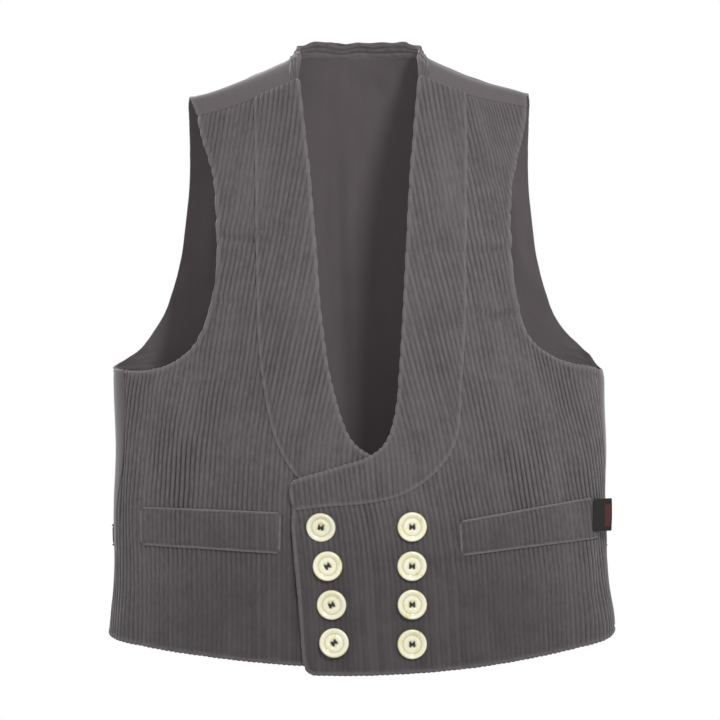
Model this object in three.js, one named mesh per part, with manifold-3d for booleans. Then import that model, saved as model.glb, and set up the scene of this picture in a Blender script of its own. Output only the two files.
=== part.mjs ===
// A double-breasted corduroy waistcoat with a shawl collar, filled out as on a general figure
// but empty. Millimetres, +Z up. The wearer faces -Y, so +X is the wearer's left.
// The origin is between the shoulders, where the wearer's shoulders carry the garment.
import * as THREE from 'three';
import { mergeVertices } from 'three/addons/utils/BufferGeometryUtils.js';
import Module from 'manifold-3d';

const wasm = await Module();
wasm.setup();

// ---------------------------------------------------------------- driving dimensions
const GAP = 0.3; // between sewn pieces
const LOOSE_GAP = 0.6; // under a piece that lies on a curved panel
const CLOTH = { front: 2.0, collar: 1.6, back: 1.6, welt: 2.4, band: 3.0, strap: 1.4, tab: 1.2 };
const SIDE_RADIUS = 50; // the round of each side, front and back alike
const RIDGE_Y = 10; // the shoulder line's place between front and back

// The body of the garment, one row for each level section.
const SECTIONS = table('z half front back', [
  [-590, 244, 94, 84],
  [-540, 241.5, 91, 80],
  [-450, 238, 88, 76],
  [-350, 237, 92, 82],
  [-240, 238, 98, 94],
  [-140, 238, 98, 96],
  [40, 238, 94, 94],
]);

// The shoulder line falls away from the neck; front and back round over it in a quarter ellipse.
const SHOULDER = { foot: -64, rise: 119, reach: 121, neckRound: 26 };
const ROLL_HEIGHT = { front: 270, back: 230 };

// The shoulder seam lies forward of the shoulder line, in degrees of that quarter ellipse.
const SHOULDER_SEAM = {
  right: { edge: 57, line: 100, outer: 158, inner: 66, innerTurn: 26.3, outerTurn: 23.9 },
  left: { edge: 57, line: 103, outer: 165, inner: 66, innerTurn: 24.6, outerTurn: 19.2 },
};
const SEAM_GAP_TURN = 0.15; // degrees, about half the sewing gap on each side

// Each row crosses a front: its free edge, the collar's seam line, and the armhole or side.
// Girths run round the front from its middle. The last rows have no collar, so line repeats edge.
const COLLAR_END_ROW = { right: 17, left: 17 };
const FRONT_ROWS = {
  right: table('edge edgeZ line lineZ outer outerZ', [
    [54, -50, 100, -60, 154, -72],
    [50, -85, 99, -95, 146, -97],
    [46, -118, 98, -128, 139, -122],
    [43, -155, 98, -160, 136, -165],
    [40, -192, 97, -196, 136, -206],
    [37, -235, 96, -235, 141, -236],
    [33, -270, 95, -268, 150, -264],
    [29, -298, 93, -294, 165, -284],
    [24, -320, 90, -315, 192, -299],
    [18, -342, 86, -338, 222, -303],
    [11, -360, 80, -362, 237, -301],
    [2, -372, 69, -386, 236, -330],
    [-10, -380, 52, -407, 238, -360],
    [-26, -386, 28, -419, 241, -390],
    [-45, -393, -8, -427, 246, -415],
    [-62, -399, -45, -430, 251, -440],
    [-78, -406, -78, -432, 254, -465],
    [-76, -460, -76, -460, 260, -490],
    [-74, -490, -74, -490, 265, -513],
    [-72, -525, -72, -525, 269, -533],
    [-70, -562, -70, -562, 270, -545],
    [-66, -579, -66, -579, 271, -554],
  ]),
  left: table('edge edgeZ line lineZ outer outerZ', [
    [54, -50, 103, -60, 160, -72],
    [51, -85, 103, -95, 153, -98],
    [48, -118, 102, -128, 147, -125],
    [46, -155, 102, -160, 145, -165],
    [44, -196, 101, -196, 147, -206],
    [42, -235, 101, -232, 152, -236],
    [40, -272, 100, -265, 160, -263],
    [38, -300, 98, -292, 175, -280],
    [36, -325, 96, -316, 202, -294],
    [33, -345, 95, -338, 228, -298],
    [28, -362, 92, -362, 244, -300],
    [20, -374, 81, -385, 246, -331],
    [6, -383, 61, -405, 250, -364],
    [-12, -389, 38, -418, 256, -395],
    [-35, -396, 8, -425, 264, -420],
    [-52, -401, -28, -428, 270, -443],
    [-65, -406, -62, -432, 272, -465],
    [-61, -456, -61, -456, 274, -490],
    [-58, -490, -58, -490, 275, -513],
    [-55, -522, -55, -522, 276, -530],
    [-51, -574, -51, -574, 277, -543],
    [-44, -585, -44, -585, 277, -551],
  ]),
};
const HEM_DIP = { right: 6, left: 11 }; // how far the middle of the front's hem hangs below a straight line
const COLLAR_COLUMNS = 4;
const FRONT_COLUMNS = 14;
const SIDE_CROWDING = 1.5; // columns stand closer together towards the side

// The left front laps over the right one and its collar.
const LAP = { lift: 4.6, fullGirth: 84, endGirth: 210, topZ: -250, fullZ: -368 };

// Back rows over the shoulder, by turn past the shoulder line, then rows down to the armhole's foot.
const BACK_SHOULDER_ROWS = table('inner innerTurn outer outerTurn', [
  [66, -13, 165, -11],
  [65, 0, 168, 0],
  [60, 5, 169, 7],
  [47, 13.5, 170, 14],
  [30, 21, 170, 21],
  [12, 25.6, 170, 27],
  [0, 26.5, 170, 32],
]);
const BACK_ROWS = table('middleZ outer outerZ', [
  [-16, 170, -84],
  [-48, 171, -118],
  [-85, 175, -152],
  [-122, 179, -182],
  [-155, 184, -205],
  [-185, 190, -225],
  [-210, 197, -244],
  [-230, 208, -262],
  [-248, 221, -279],
  [-262, 238, -289],
  [-276, 258, -295.5],
  [-288, 278, -299],
]);
const BACK_MIDDLE = { armholeZ: -301, hemZ: -564 };
const BACK_COLUMNS = 14;
const BACK_CROWDING = 1.4;

// The collar's band round the back of the neck, standing on the neck edge: one row for each station.
const NECK_BAND_ROWS = table('girth turn inward up', [
  [66, -24, 9, 1],
  [66, -12, 9, 6],
  [65, 0, 7, 11],
  [58, 6, 4, 13],
  [47, 13.5, 3, 13],
  [30, 21, 2, 12],
  [15, 25, 2, 12],
]);
const NECK_BAND_MIDDLE = { turn: 26.5, inward: 2, up: 12 };
const NECK_BAND_STEPS = 36;

// Pocket welts, by the girth and height of their four corners.
const WELTS = {
  right: { top: [214, -431, 73, -434], bottom: [214, -467, 74, -473] },
  left: { top: [230, -422, 93, -442], bottom: [240, -461, 95, -475] },
};
const WELT_STEPS = { along: 12, across: 3 };

// The tab caught in the end of the left welt, standing off along the side's tangent.
const SIDE_TAB = { x: 224, y: -41, length: 19, height: 30, topZ: -424, turn: 24 };

// Straps across the small of the back, joined by a slide buckle. Lift is above the back's face.
const STRAP = { z: -461, width: 24, taperGirth: 200, endGirth: 266, endWidth: 20 };
const STRAP_TURN_SPACE = 2.4; // how high the left strap stands over the tail of the right one
const STRAP_LEFT_ROWS = table('girth lift', [
  [266, 0], [252, 0], [240, 0], [228, 0], [216, 0], [200, 0], [170, 0], [140, 0], [110, 0],
  [85, STRAP_TURN_SPACE], [60, STRAP_TURN_SPACE], [26.5, STRAP_TURN_SPACE],
]);
const STRAP_RIGHT_ROWS = table('girth lift', [
  [266, 0], [252, 0], [240, 0], [228, 0], [216, 0], [200, 0], [170, 0], [140, 0], [110, 0], [80, 0],
  [50, 0], [20, 0], [6, 0], [-4.5, 4.4], [-11.5, 4.4], [-22, 0], [-40, 0], [-70, 0],
]);
const BUCKLE = { girth: 8, width: 36, length: 36, bar: 3, thick: 2, lift: 3.4 };

// Buttons: two columns of four on the left front.
const BUTTON_PLACES = table('girth z', [
  [-35, -447], [-29, -484], [-25, -520], [-23, -556],
  [49, -447], [49, -484], [49, -520], [49, -557],
]);
const BUTTON = { radius: 14, height: 4.2, rim: 2.6, dish: 1.5, holeRadius: 1.1, holeSpacing: 4.2 };

const COLOURS = { corduroy: 0x5c5859, plain: 0x6a6667, pearl: 0xece9dc, tab: 0x151515, steel: 0xa8a8a4 };

// ---------------------------------------------------------------- tables and easing
function table(names, rows) {
  const columns = names.split(' ');
  return rows.map((row) => Object.fromEntries(columns.map((name, i) => [name, row[i]])));
}

function lerp(a, b, t) {
  return a + (b - a) * t;
}

function ease(t) {
  const clamped = Math.min(Math.max(t, 0), 1);
  return clamped * clamped * (3 - 2 * clamped);
}

/** A smooth value of one column between the rows of a table ordered by z. */
function smoothColumn(rows, column, z) {
  const last = rows.length - 1;
  if (z <= rows[0].z) return rows[0][column];
  if (z >= rows[last].z) return rows[last][column];
  const i = rows.findIndex((row, k) => z >= row.z && z < rows[k + 1].z);
  const step = rows[i + 1].z - rows[i].z;
  const t = (z - rows[i].z) / step;
  const slope = (k) => (k === 0 || k === last ? 0
    : (rows[k + 1][column] - rows[k - 1][column]) / (rows[k + 1].z - rows[k - 1].z));
  return (2 * t ** 3 - 3 * t ** 2 + 1) * rows[i][column] + (t ** 3 - 2 * t ** 2 + t) * step * slope(i)
    + (3 * t ** 2 - 2 * t ** 3) * rows[i + 1][column] + (t ** 3 - t ** 2) * step * slope(i + 1);
}

// ---------------------------------------------------------------- the garment's form
/** A quarter of a level section: a wide arc across the front or back meets the arc of the side. */
function quarterAt(face, z) {
  const depth = smoothColumn(SECTIONS, face, z);
  const reach = smoothColumn(SECTIONS, 'half', z) - SIDE_RADIUS;
  const turn = 2 * Math.atan2(depth - SIDE_RADIUS, reach);
  const radius = SIDE_RADIUS + reach / Math.sin(turn);
  const wide = radius * turn;
  return { depth, reach, turn, radius, wide, girth: wide + SIDE_RADIUS * (Math.PI / 2 - turn) };
}

function alongQuarter(quarter, girth) {
  if (girth <= quarter.wide) {
    const angle = girth / quarter.radius;
    return [quarter.radius * Math.sin(angle), quarter.depth - quarter.radius * (1 - Math.cos(angle))];
  }
  const angle = quarter.turn + (girth - quarter.wide) / SIDE_RADIUS;
  return [quarter.reach + SIDE_RADIUS * Math.sin(angle), SIDE_RADIUS * Math.cos(angle)];
}

function shoulderLine(x) {
  return SHOULDER.foot + SHOULDER.rise * Math.exp(-Math.hypot(x, SHOULDER.neckRound) / SHOULDER.reach);
}

/** A point of the form, by its girth from the middle of a face and its height. */
function bodyPoint(face, girth, z) {
  const own = quarterAt(face, z);
  const otherFace = face === 'front' ? 'back' : 'front';
  const past = Math.abs(girth) - own.girth;
  const other = quarterAt(otherFace, z);
  const [x, out] = past > 0 ? alongQuarter(other, other.girth - past) : alongQuarter(own, Math.abs(girth));
  const shown = past > 0 ? otherFace : face;
  const drop = Math.max(shoulderLine(x) - z, 0) / ROLL_HEIGHT[shown];
  const fullness = drop >= 1 ? 1 : Math.sqrt(1 - (1 - drop) ** 2);
  const y = shown === 'front' ? -out : out;
  return new THREE.Vector3(Math.sign(girth) * x, RIDGE_Y + fullness * (y - RIDGE_Y), z);
}

/** A point of the form near the shoulder, by its girth and its turn past the shoulder line in degrees. */
function shoulderPoint(girth, turn) {
  const face = turn < 0 ? 'front' : 'back';
  const angle = THREE.MathUtils.degToRad(Math.abs(turn));
  const [nearX] = alongQuarter(quarterAt(face, 0), Math.abs(girth));
  const z = shoulderLine(nearX) - ROLL_HEIGHT[face] * (1 - Math.cos(angle));
  const [x, out] = alongQuarter(quarterAt(face, z), Math.abs(girth));
  const y = face === 'front' ? -out : out;
  return new THREE.Vector3(Math.sign(girth) * x, RIDGE_Y + Math.sin(angle) * (y - RIDGE_Y), z);
}

/** A station is { face, girth, z } or { girth, turn }. Gives its point and the outward normal. */
function place(station, lift = 0) {
  const step = 0.5;
  const at = (girth, down) => (station.turn === undefined
    ? bodyPoint(station.face, girth, station.z - down)
    : shoulderPoint(girth, station.turn + down / 2));
  const point = at(station.girth, 0);
  const across = at(station.girth + step, 0).sub(at(station.girth - step, 0));
  const down = at(station.girth, step).sub(at(station.girth, -step));
  const normal = across.cross(down).normalize();
  const outward = new THREE.Vector3(point.x / 2, point.y - RIDGE_Y, 80);
  if (normal.dot(outward) < 0) normal.negate();
  return { point: point.addScaledVector(normal, lift), normal };
}

// ---------------------------------------------------------------- cloth walls
/** A net of cloth: rows of placed stations joined by four-sided cells. Missing places are undefined. */
function netOf(rows) {
  const places = [];
  const cells = [];
  const numbers = rows.map((row) => row.map((entry) => (entry ? places.push(entry) - 1 : undefined)));
  for (let r = 0; r + 1 < numbers.length; r += 1) {
    for (let c = 0; c + 1 < numbers[r].length; c += 1) {
      const corners = [numbers[r][c], numbers[r + 1][c], numbers[r + 1][c + 1], numbers[r][c + 1]];
      if (corners.every((corner) => corner !== undefined)) cells.push({ corners, column: c });
    }
  }
  return { places, cells };
}

/** A closed geometry from points and triangles, turned so that its faces point out. */
function closedGeometry(points, triangles) {
  const volume = triangles.reduce((sum, [a, b, c]) => sum
    + points[a].dot(new THREE.Vector3().crossVectors(points[b], points[c])), 0);
  const turned = volume < 0 ? triangles.map(([a, b, c]) => [a, c, b]) : triangles;
  const geometry = new THREE.BufferGeometry();
  geometry.setAttribute('position', new THREE.Float32BufferAttribute(points.flatMap((p) => p.toArray()), 3));
  geometry.setIndex(turned.flat());
  geometry.computeVertexNormals();
  return geometry;
}

/** Cloth between two heights above a net, closed along its free edges. */
function clothWall(net, low, high, keep = () => true) {
  const cells = net.cells.filter(keep);
  const used = [...new Set(cells.flatMap((cell) => cell.corners))];
  const number = new Map(used.map((corner, i) => [corner, i]));
  const layer = (height) => used.map((corner) => {
    const { point, normal } = net.places[corner];
    return point.clone().addScaledVector(normal, height);
  });
  const points = [...layer(high), ...layer(low)];
  const below = used.length;
  const edges = new Map();
  const triangles = [];
  for (const cell of cells) {
    const [a, b, c, d] = cell.corners.map((corner) => number.get(corner));
    triangles.push([a, b, c], [a, c, d], [below + a, below + c, below + b], [below + a, below + d, below + c]);
    for (const [from, to] of [[a, b], [b, c], [c, d], [d, a]]) edges.set(`${from} ${to}`, [from, to]);
  }
  for (const [from, to] of edges.values()) {
    if (edges.has(`${to} ${from}`)) continue;
    triangles.push([to, from, below + from], [to, below + from, below + to]);
  }
  return closedGeometry(points, triangles);
}

/** A solid for boolean work from a closed three.js geometry. */
function solidOf(geometry) {
  const bare = geometry.clone();
  bare.deleteAttribute('normal');
  bare.deleteAttribute('uv');
  const merged = mergeVertices(bare);
  return new wasm.Manifold(new wasm.Mesh({
    numProp: 3,
    vertProperties: new Float32Array(merged.attributes.position.array),
    triVerts: new Uint32Array(merged.index.array),
  }));
}

/** A three.js geometry from a solid of boolean work. */
function geometryOf(solid) {
  const { vertProperties, triVerts } = solid.getMesh();
  const geometry = new THREE.BufferGeometry();
  geometry.setAttribute('position', new THREE.BufferAttribute(vertProperties, 3));
  geometry.setIndex(new THREE.BufferAttribute(triVerts, 1));
  geometry.computeVertexNormals();
  return geometry;
}

function named(name, geometry, colour, metalness = 0, roughness = 0.9) {
  const material = new THREE.MeshStandardMaterial({ color: colour, metalness, roughness });
  const mesh = new THREE.Mesh(geometry, material);
  mesh.name = name;
  return mesh;
}

// ---------------------------------------------------------------- fronts, collar and welts
const SIGN = { right: -1, left: 1 };

function lapLift(side, girth, z) {
  if (side === 'right') return 0;
  const across = ease((LAP.endGirth - girth) / (LAP.endGirth - LAP.fullGirth));
  return LAP.lift * across * ease((LAP.topZ - z) / (LAP.topZ - LAP.fullZ));
}

function onFront(side, girth, z) {
  return place({ face: 'front', girth: SIGN[side] * girth, z }, lapLift(side, girth, z));
}

/** The places of one row of a front, from its edge across the collar's line to the armhole or side. */
function frontRow(side, row, hasCollar, dip) {
  const places = [];
  for (let c = 0; c < COLLAR_COLUMNS; c += 1) {
    const t = c / COLLAR_COLUMNS;
    const girth = lerp(row.edge, row.line, t);
    places.push(hasCollar ? onFront(side, girth, lerp(row.edgeZ, row.lineZ, t)) : undefined);
  }
  for (let c = 0; c <= FRONT_COLUMNS; c += 1) {
    const t = 1 - (1 - c / FRONT_COLUMNS) ** SIDE_CROWDING;
    const z = lerp(row.lineZ, row.outerZ, t) - 4 * dip * t * (1 - t);
    places.push(onFront(side, lerp(row.line, row.outer, t), z));
  }
  return places;
}

function shoulderSeamRow(side) {
  const seam = SHOULDER_SEAM[side];
  const turnAt = (girth) => -SEAM_GAP_TURN
    - lerp(seam.innerTurn, seam.outerTurn, (girth - seam.inner) / (seam.outer - seam.inner));
  const girths = [];
  for (let c = 0; c < COLLAR_COLUMNS; c += 1) girths.push(lerp(seam.edge, seam.line, c / COLLAR_COLUMNS));
  for (let c = 0; c <= FRONT_COLUMNS; c += 1) {
    girths.push(lerp(seam.line, seam.outer, 1 - (1 - c / FRONT_COLUMNS) ** SIDE_CROWDING));
  }
  return girths.map((girth) => place({ girth: SIGN[side] * girth, turn: turnAt(girth) }));
}

function frontNet(side) {
  const rows = FRONT_ROWS[side];
  const hem = rows.length - 1;
  const lower = rows.map((row, i) => frontRow(side, row, i < COLLAR_END_ROW[side], i === hem ? HEM_DIP[side] : 0));
  return netOf([shoulderSeamRow(side), ...lower]);
}

function makeFront(side, net) {
  return named(`front_${side}`, clothWall(net, -CLOTH.front / 2, CLOTH.front / 2), COLOURS.corduroy);
}

function makeCollar(side, net) {
  const low = CLOTH.front / 2 + GAP;
  const onCollar = (cell) => cell.column < COLLAR_COLUMNS;
  return named(`collar_${side}`, clothWall(net, low, low + CLOTH.collar, onCollar), COLOURS.corduroy);
}

function makeWelt(side) {
  const { top, bottom } = WELTS[side];
  const rows = [];
  for (let r = 0; r <= WELT_STEPS.across; r += 1) {
    const down = r / WELT_STEPS.across;
    const row = [];
    for (let c = 0; c <= WELT_STEPS.along; c += 1) {
      const along = c / WELT_STEPS.along;
      const girth = lerp(lerp(top[0], top[2], along), lerp(bottom[0], bottom[2], along), down);
      const z = lerp(lerp(top[1], top[3], along), lerp(bottom[1], bottom[3], along), down);
      row.push(onFront(side, girth, z));
    }
    rows.push(row);
  }
  const low = CLOTH.front / 2 + LOOSE_GAP;
  return named(`welt_${side}`, clothWall(netOf(rows), low, low + CLOTH.welt), COLOURS.corduroy);
}

function makeSideTab() {
  const geometry = new THREE.BoxGeometry(SIDE_TAB.length, CLOTH.tab, SIDE_TAB.height);
  geometry.translate(SIDE_TAB.length / 2, 0, -SIDE_TAB.height / 2);
  const mesh = named('side_tab', geometry, COLOURS.tab);
  mesh.position.set(SIDE_TAB.x, SIDE_TAB.y, SIDE_TAB.topZ);
  mesh.rotation.z = THREE.MathUtils.degToRad(SIDE_TAB.turn);
  return mesh;
}

// ---------------------------------------------------------------- back, neck band and straps
/** The places of one row of a half back between two stations. */
function backRow(side, from, to) {
  const row = [];
  for (let c = 0; c <= BACK_COLUMNS; c += 1) {
    const t = 1 - (1 - c / BACK_COLUMNS) ** BACK_CROWDING;
    const girth = SIGN[side] * Math.max(lerp(from.girth, to.girth, t), GAP / 2);
    row.push(place(from.turn === undefined
      ? { face: 'back', girth, z: lerp(from.z, to.z, t) }
      : { girth, turn: lerp(from.turn, to.turn, t) }));
  }
  return row;
}

/** Where the side seam runs on the back, by its girth on the front. */
function sideSeamFromBack(frontGirth, z) {
  return quarterAt('back', z).girth + quarterAt('front', z).girth - frontGirth - GAP;
}

function makeBack(side) {
  const seam = SHOULDER_SEAM[side];
  const rows = [backRow(side,
    { girth: seam.inner, turn: SEAM_GAP_TURN - seam.innerTurn },
    { girth: seam.outer, turn: SEAM_GAP_TURN - seam.outerTurn })];
  for (const row of BACK_SHOULDER_ROWS) {
    rows.push(backRow(side, { girth: row.inner, turn: row.innerTurn }, { girth: row.outer, turn: row.outerTurn }));
  }
  for (const row of BACK_ROWS) {
    rows.push(backRow(side, { girth: 0, z: row.middleZ }, { girth: row.outer, z: row.outerZ }));
  }
  const sideRows = FRONT_ROWS[side].filter((row, i) => i >= 10);
  const top = sideRows[0].outerZ;
  const drop = sideRows.at(-1).outerZ - top;
  for (const { outer, outerZ } of sideRows) {
    const middleZ = lerp(BACK_MIDDLE.armholeZ, BACK_MIDDLE.hemZ, (outerZ - top) / drop);
    rows.push(backRow(side, { girth: 0, z: middleZ }, { girth: sideSeamFromBack(outer, outerZ), z: outerZ }));
  }
  const half = CLOTH.back / 2;
  return named(`back_${side}`, clothWall(netOf(rows), -half, half), COLOURS.plain);
}

/** The base of the neck band on the back's neck edge, with its lean, from the right front to the left. */
function neckBandStations() {
  const right = NECK_BAND_ROWS.map((row) => ({ ...row, girth: -row.girth }));
  return [...right, { girth: 0.01, ...NECK_BAND_MIDDLE }, ...[...NECK_BAND_ROWS].reverse()];
}

function makeNeckBand() {
  const stations = neckBandStations();
  const base = new THREE.CatmullRomCurve3(stations.map((s) => shoulderPoint(s.girth, s.turn)));
  const lean = new THREE.CatmullRomCurve3(stations.map((s) => new THREE.Vector3(s.inward, 0, s.up)));
  const rows = [];
  for (let i = 0; i <= NECK_BAND_STEPS; i += 1) {
    const t = i / NECK_BAND_STEPS;
    const along = base.getTangent(t).setZ(0).normalize();
    const inward = new THREE.Vector3(along.y, -along.x, 0);
    const { x: inwardLength, z: up } = lean.getPoint(t);
    const rise = inward.multiplyScalar(inwardLength).add(new THREE.Vector3(0, 0, up));
    const normal = new THREE.Vector3().crossVectors(base.getTangent(t), rise).normalize();
    const foot = rise.clone().normalize().multiplyScalar(CLOTH.band / 2 + GAP);
    rows.push([0, 0.5, 1].map((part) => ({
      point: base.getPoint(t).add(foot).addScaledVector(rise, part), normal,
    })));
  }
  const half = CLOTH.band / 2;
  return named('collar_neck', clothWall(netOf(rows), -half, half), COLOURS.corduroy);
}

function makeStrap(side, liftRows) {
  const low = CLOTH.back / 2 + LOOSE_GAP;
  const rows = liftRows.map(({ girth, lift }) => {
    const half = lerp(STRAP.width, STRAP.endWidth, ease((girth - STRAP.taperGirth) / (STRAP.endGirth - STRAP.taperGirth))) / 2;
    return [-half, 0, half].map((across) => place(
      { face: 'back', girth: SIGN[side] * girth, z: STRAP.z + across }, lift));
  });
  return named(`strap_${side}`, clothWall(netOf(rows), low, low + CLOTH.strap), COLOURS.plain);
}

/** A flat slide buckle with three bars, standing upright across the straps. */
function makeBuckle() {
  const { width, length, bar, thick } = BUCKLE;
  const slot = length / 2 - 1.5 * bar;
  let solid = solidOf(new THREE.BoxGeometry(length, width, thick));
  for (const middle of [-(slot + bar) / 2, (slot + bar) / 2]) {
    const cutter = new THREE.BoxGeometry(slot, width - 2 * bar, 2 * thick);
    solid = solid.subtract(solidOf(cutter.translate(middle, 0, 0)));
  }
  const mesh = named('strap_buckle', geometryOf(solid), COLOURS.steel, 0.9, 0.4);
  const { point, normal } = place({ face: 'back', girth: BUCKLE.girth, z: STRAP.z }, CLOTH.back / 2 + BUCKLE.lift);
  mesh.position.copy(point);
  mesh.up.set(0, 0, 1);
  mesh.lookAt(point.clone().add(normal));
  return mesh;
}

// ---------------------------------------------------------------- buttons
function buttonGeometry() {
  const { radius, height, rim, dish, holeRadius, holeSpacing } = BUTTON;
  const profile = [
    [0, 0], [radius - 3, 0], [radius, height * 0.45], [radius - 0.6, height - 0.5], [radius - rim / 2, height],
    [radius - rim, height - 0.5], [radius - rim - 3.5, height - dish], [0, height - dish],
  ].map(([r, z]) => new THREE.Vector2(r, z));
  const disc = new THREE.LatheGeometry(profile, 22).rotateX(Math.PI / 2);
  let solid = solidOf(disc);
  for (const x of [-holeSpacing / 2, holeSpacing / 2]) {
    for (const y of [-holeSpacing / 2, holeSpacing / 2]) {
      const drill = new THREE.CylinderGeometry(holeRadius, holeRadius, 3 * height, 8).rotateX(Math.PI / 2);
      solid = solid.subtract(solidOf(drill.translate(x, y, 0)));
    }
  }
  return geometryOf(solid);
}

function makeButtons() {
  const geometry = buttonGeometry();
  return BUTTON_PLACES.map(({ girth, z }, i) => {
    const { point, normal } = onFront('left', girth, z);
    const mesh = named(`button_${i + 1}`, geometry, COLOURS.pearl, 0, 0.35);
    mesh.position.copy(point.addScaledVector(normal, CLOTH.front / 2 + LOOSE_GAP));
    mesh.quaternion.setFromUnitVectors(new THREE.Vector3(0, 0, 1), normal);
    return mesh;
  });
}

// ---------------------------------------------------------------- the garment
const group = new THREE.Group();
for (const side of ['right', 'left']) {
  const net = frontNet(side);
  group.add(makeFront(side, net), makeCollar(side, net), makeWelt(side), makeBack(side));
}
group.add(makeNeckBand(), makeSideTab());
group.add(makeStrap('left', STRAP_LEFT_ROWS), makeStrap('right', STRAP_RIGHT_ROWS), makeBuckle());
group.add(...makeButtons());

export default group;
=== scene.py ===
# %% [markdown]
# # A double-breasted waistcoat in wide-wale corduroy
# This lesson dresses a measured frame in cloth. The frame holds the garment's size and its form, filled
# out but empty. Each piece is made the way a tailor makes it: the outline is cut flat, in millimetres,
# with the ribs running straight up the cloth. The flat piece gets its thickness, and only then is it
# wrapped on the form. Sculpting the finished garment would be quicker, but then the ribs would not run
# off the edges as they do on a piece that was really cut.

# %% The frame, its box and the tools
import math
import bmesh
import bpy
import numpy as np
from mathutils import Matrix, Vector


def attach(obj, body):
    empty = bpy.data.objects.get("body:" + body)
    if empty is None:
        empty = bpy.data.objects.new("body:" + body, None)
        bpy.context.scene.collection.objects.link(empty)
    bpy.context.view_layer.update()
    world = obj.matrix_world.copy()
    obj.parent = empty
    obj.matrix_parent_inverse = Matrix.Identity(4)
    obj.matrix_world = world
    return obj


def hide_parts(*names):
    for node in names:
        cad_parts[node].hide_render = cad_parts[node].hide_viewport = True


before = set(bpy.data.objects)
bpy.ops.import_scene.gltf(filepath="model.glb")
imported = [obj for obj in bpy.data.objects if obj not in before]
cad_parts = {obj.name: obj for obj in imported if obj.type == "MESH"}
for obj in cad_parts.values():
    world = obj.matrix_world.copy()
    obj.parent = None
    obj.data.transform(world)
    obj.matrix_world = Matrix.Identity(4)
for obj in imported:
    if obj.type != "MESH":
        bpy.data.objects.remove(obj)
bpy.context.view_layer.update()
MM = 0.001

# %% [markdown]
# ## The camera
# A catalogue picture of a garment is taken level, from straight in front, with a long lens, so that
# nothing is stretched. The camera stands 2.6 m in front of the shoulders, level with the middle of the
# garment.

# %% Camera
CAMERA_PLACE = (0.001, -2.6, -0.291)
CAMERA_LENS = 134.0
camera_data = bpy.data.cameras.new("camera")
camera_data.lens = CAMERA_LENS
camera_data.sensor_width = 36.0
camera = bpy.data.objects.new("camera", camera_data)
camera.location = CAMERA_PLACE
camera.rotation_euler = (math.radians(90), 0, 0)
bpy.context.scene.collection.objects.link(camera)
bpy.context.scene.camera = camera
print("camera lens", CAMERA_LENS, "mm")

# %% [markdown]
# ## The form under the cloth
# The body of the garment is a stack of level sections. Each quarter of a section is a wide arc across
# the front or back that meets the small arc of the side. A place on it is given by its girth, which is
# measured round the section from the middle, and its height. The shoulder falls away from the neck, and
# front and back round over it in a quarter ellipse. These are the same rules that made the frame, so
# the cloth lands where the frame's walls are.

# %% Level sections and the shoulder
SECTIONS = np.array([  # height, half width, depth in front, depth behind
    (-590, 244, 94, 84), (-540, 241.5, 91, 80), (-450, 238, 88, 76), (-350, 237, 92, 82),
    (-240, 238, 98, 94), (-140, 238, 98, 96), (40, 238, 94, 94)], float)
COLUMN = {"half": 1, "front": 2, "back": 3}
SIDE_RADIUS = 50.0  # of the small arc at the side
RIDGE_Y = 10.0  # where the shoulder's ridge lies between front and back
SHOULDER_FOOT, SHOULDER_RISE, SHOULDER_REACH, NECK_ROUND = -64.0, 119.0, 121.0, 26.0
ROLL_HEIGHT = {"front": 270.0, "back": 230.0}  # over which a face rounds up to the shoulder
SIGN = {"right": -1, "left": 1}  # the wearer's sides
WAIST = -450.0
ARC_GIRTH = 5  # where the girth stands in what quarter gives


def ease(t):
    """0 below 0, 1 above 1, and smooth between."""
    t = np.clip(t, 0, 1)
    return t * t * (3 - 2 * t)


def hermite(places, values, x):
    """A smooth curve through values at places; values may have more than one column."""
    places = np.asarray(places, float)
    values = np.asarray(values, float)
    slopes = np.zeros_like(values)
    run = (places[2:] - places[:-2]).reshape(-1, *[1] * (values.ndim - 1))
    slopes[1:-1] = (values[2:] - values[:-2]) / run
    x = np.clip(x, places[0], places[-1])
    i = np.clip(np.searchsorted(places, x, side="right") - 1, 0, len(places) - 2)
    step = (places[i + 1] - places[i]).reshape(-1, *[1] * (values.ndim - 1))
    t = (x - places[i]).reshape(step.shape) / step
    return ((2 * t**3 - 3 * t**2 + 1) * values[i] + (t**3 - 2 * t**2 + t) * step * slopes[i]
            + (3 * t**2 - 2 * t**3) * values[i + 1] + (t**3 - t**2) * step * slopes[i + 1])


def quarter(face, z):
    """The two arcs of a quarter section: depth, reach, turn, radius, wide and girth."""
    depth = hermite(SECTIONS[:, 0], SECTIONS[:, COLUMN[face]], z)
    reach = hermite(SECTIONS[:, 0], SECTIONS[:, COLUMN["half"]], z) - SIDE_RADIUS
    turn = 2 * np.arctan2(depth - SIDE_RADIUS, reach)
    radius = SIDE_RADIUS + reach / np.sin(turn)
    wide = radius * turn
    return depth, reach, turn, radius, wide, wide + SIDE_RADIUS * (math.pi / 2 - turn)


def along_quarter(arcs, girth):
    """Sideways place and depth on a quarter section."""
    depth, reach, turn, radius, wide, _ = arcs
    on_wide = girth <= wide
    angle = np.where(on_wide, girth / radius, turn + (girth - wide) / SIDE_RADIUS)
    x = np.where(on_wide, radius * np.sin(angle), reach + SIDE_RADIUS * np.sin(angle))
    out = np.where(on_wide, depth - radius * (1 - np.cos(angle)), SIDE_RADIUS * np.cos(angle))
    return x, out


def shoulder_line(x):
    return SHOULDER_FOOT + SHOULDER_RISE * np.exp(-np.hypot(x, NECK_ROUND) / SHOULDER_REACH)


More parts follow.
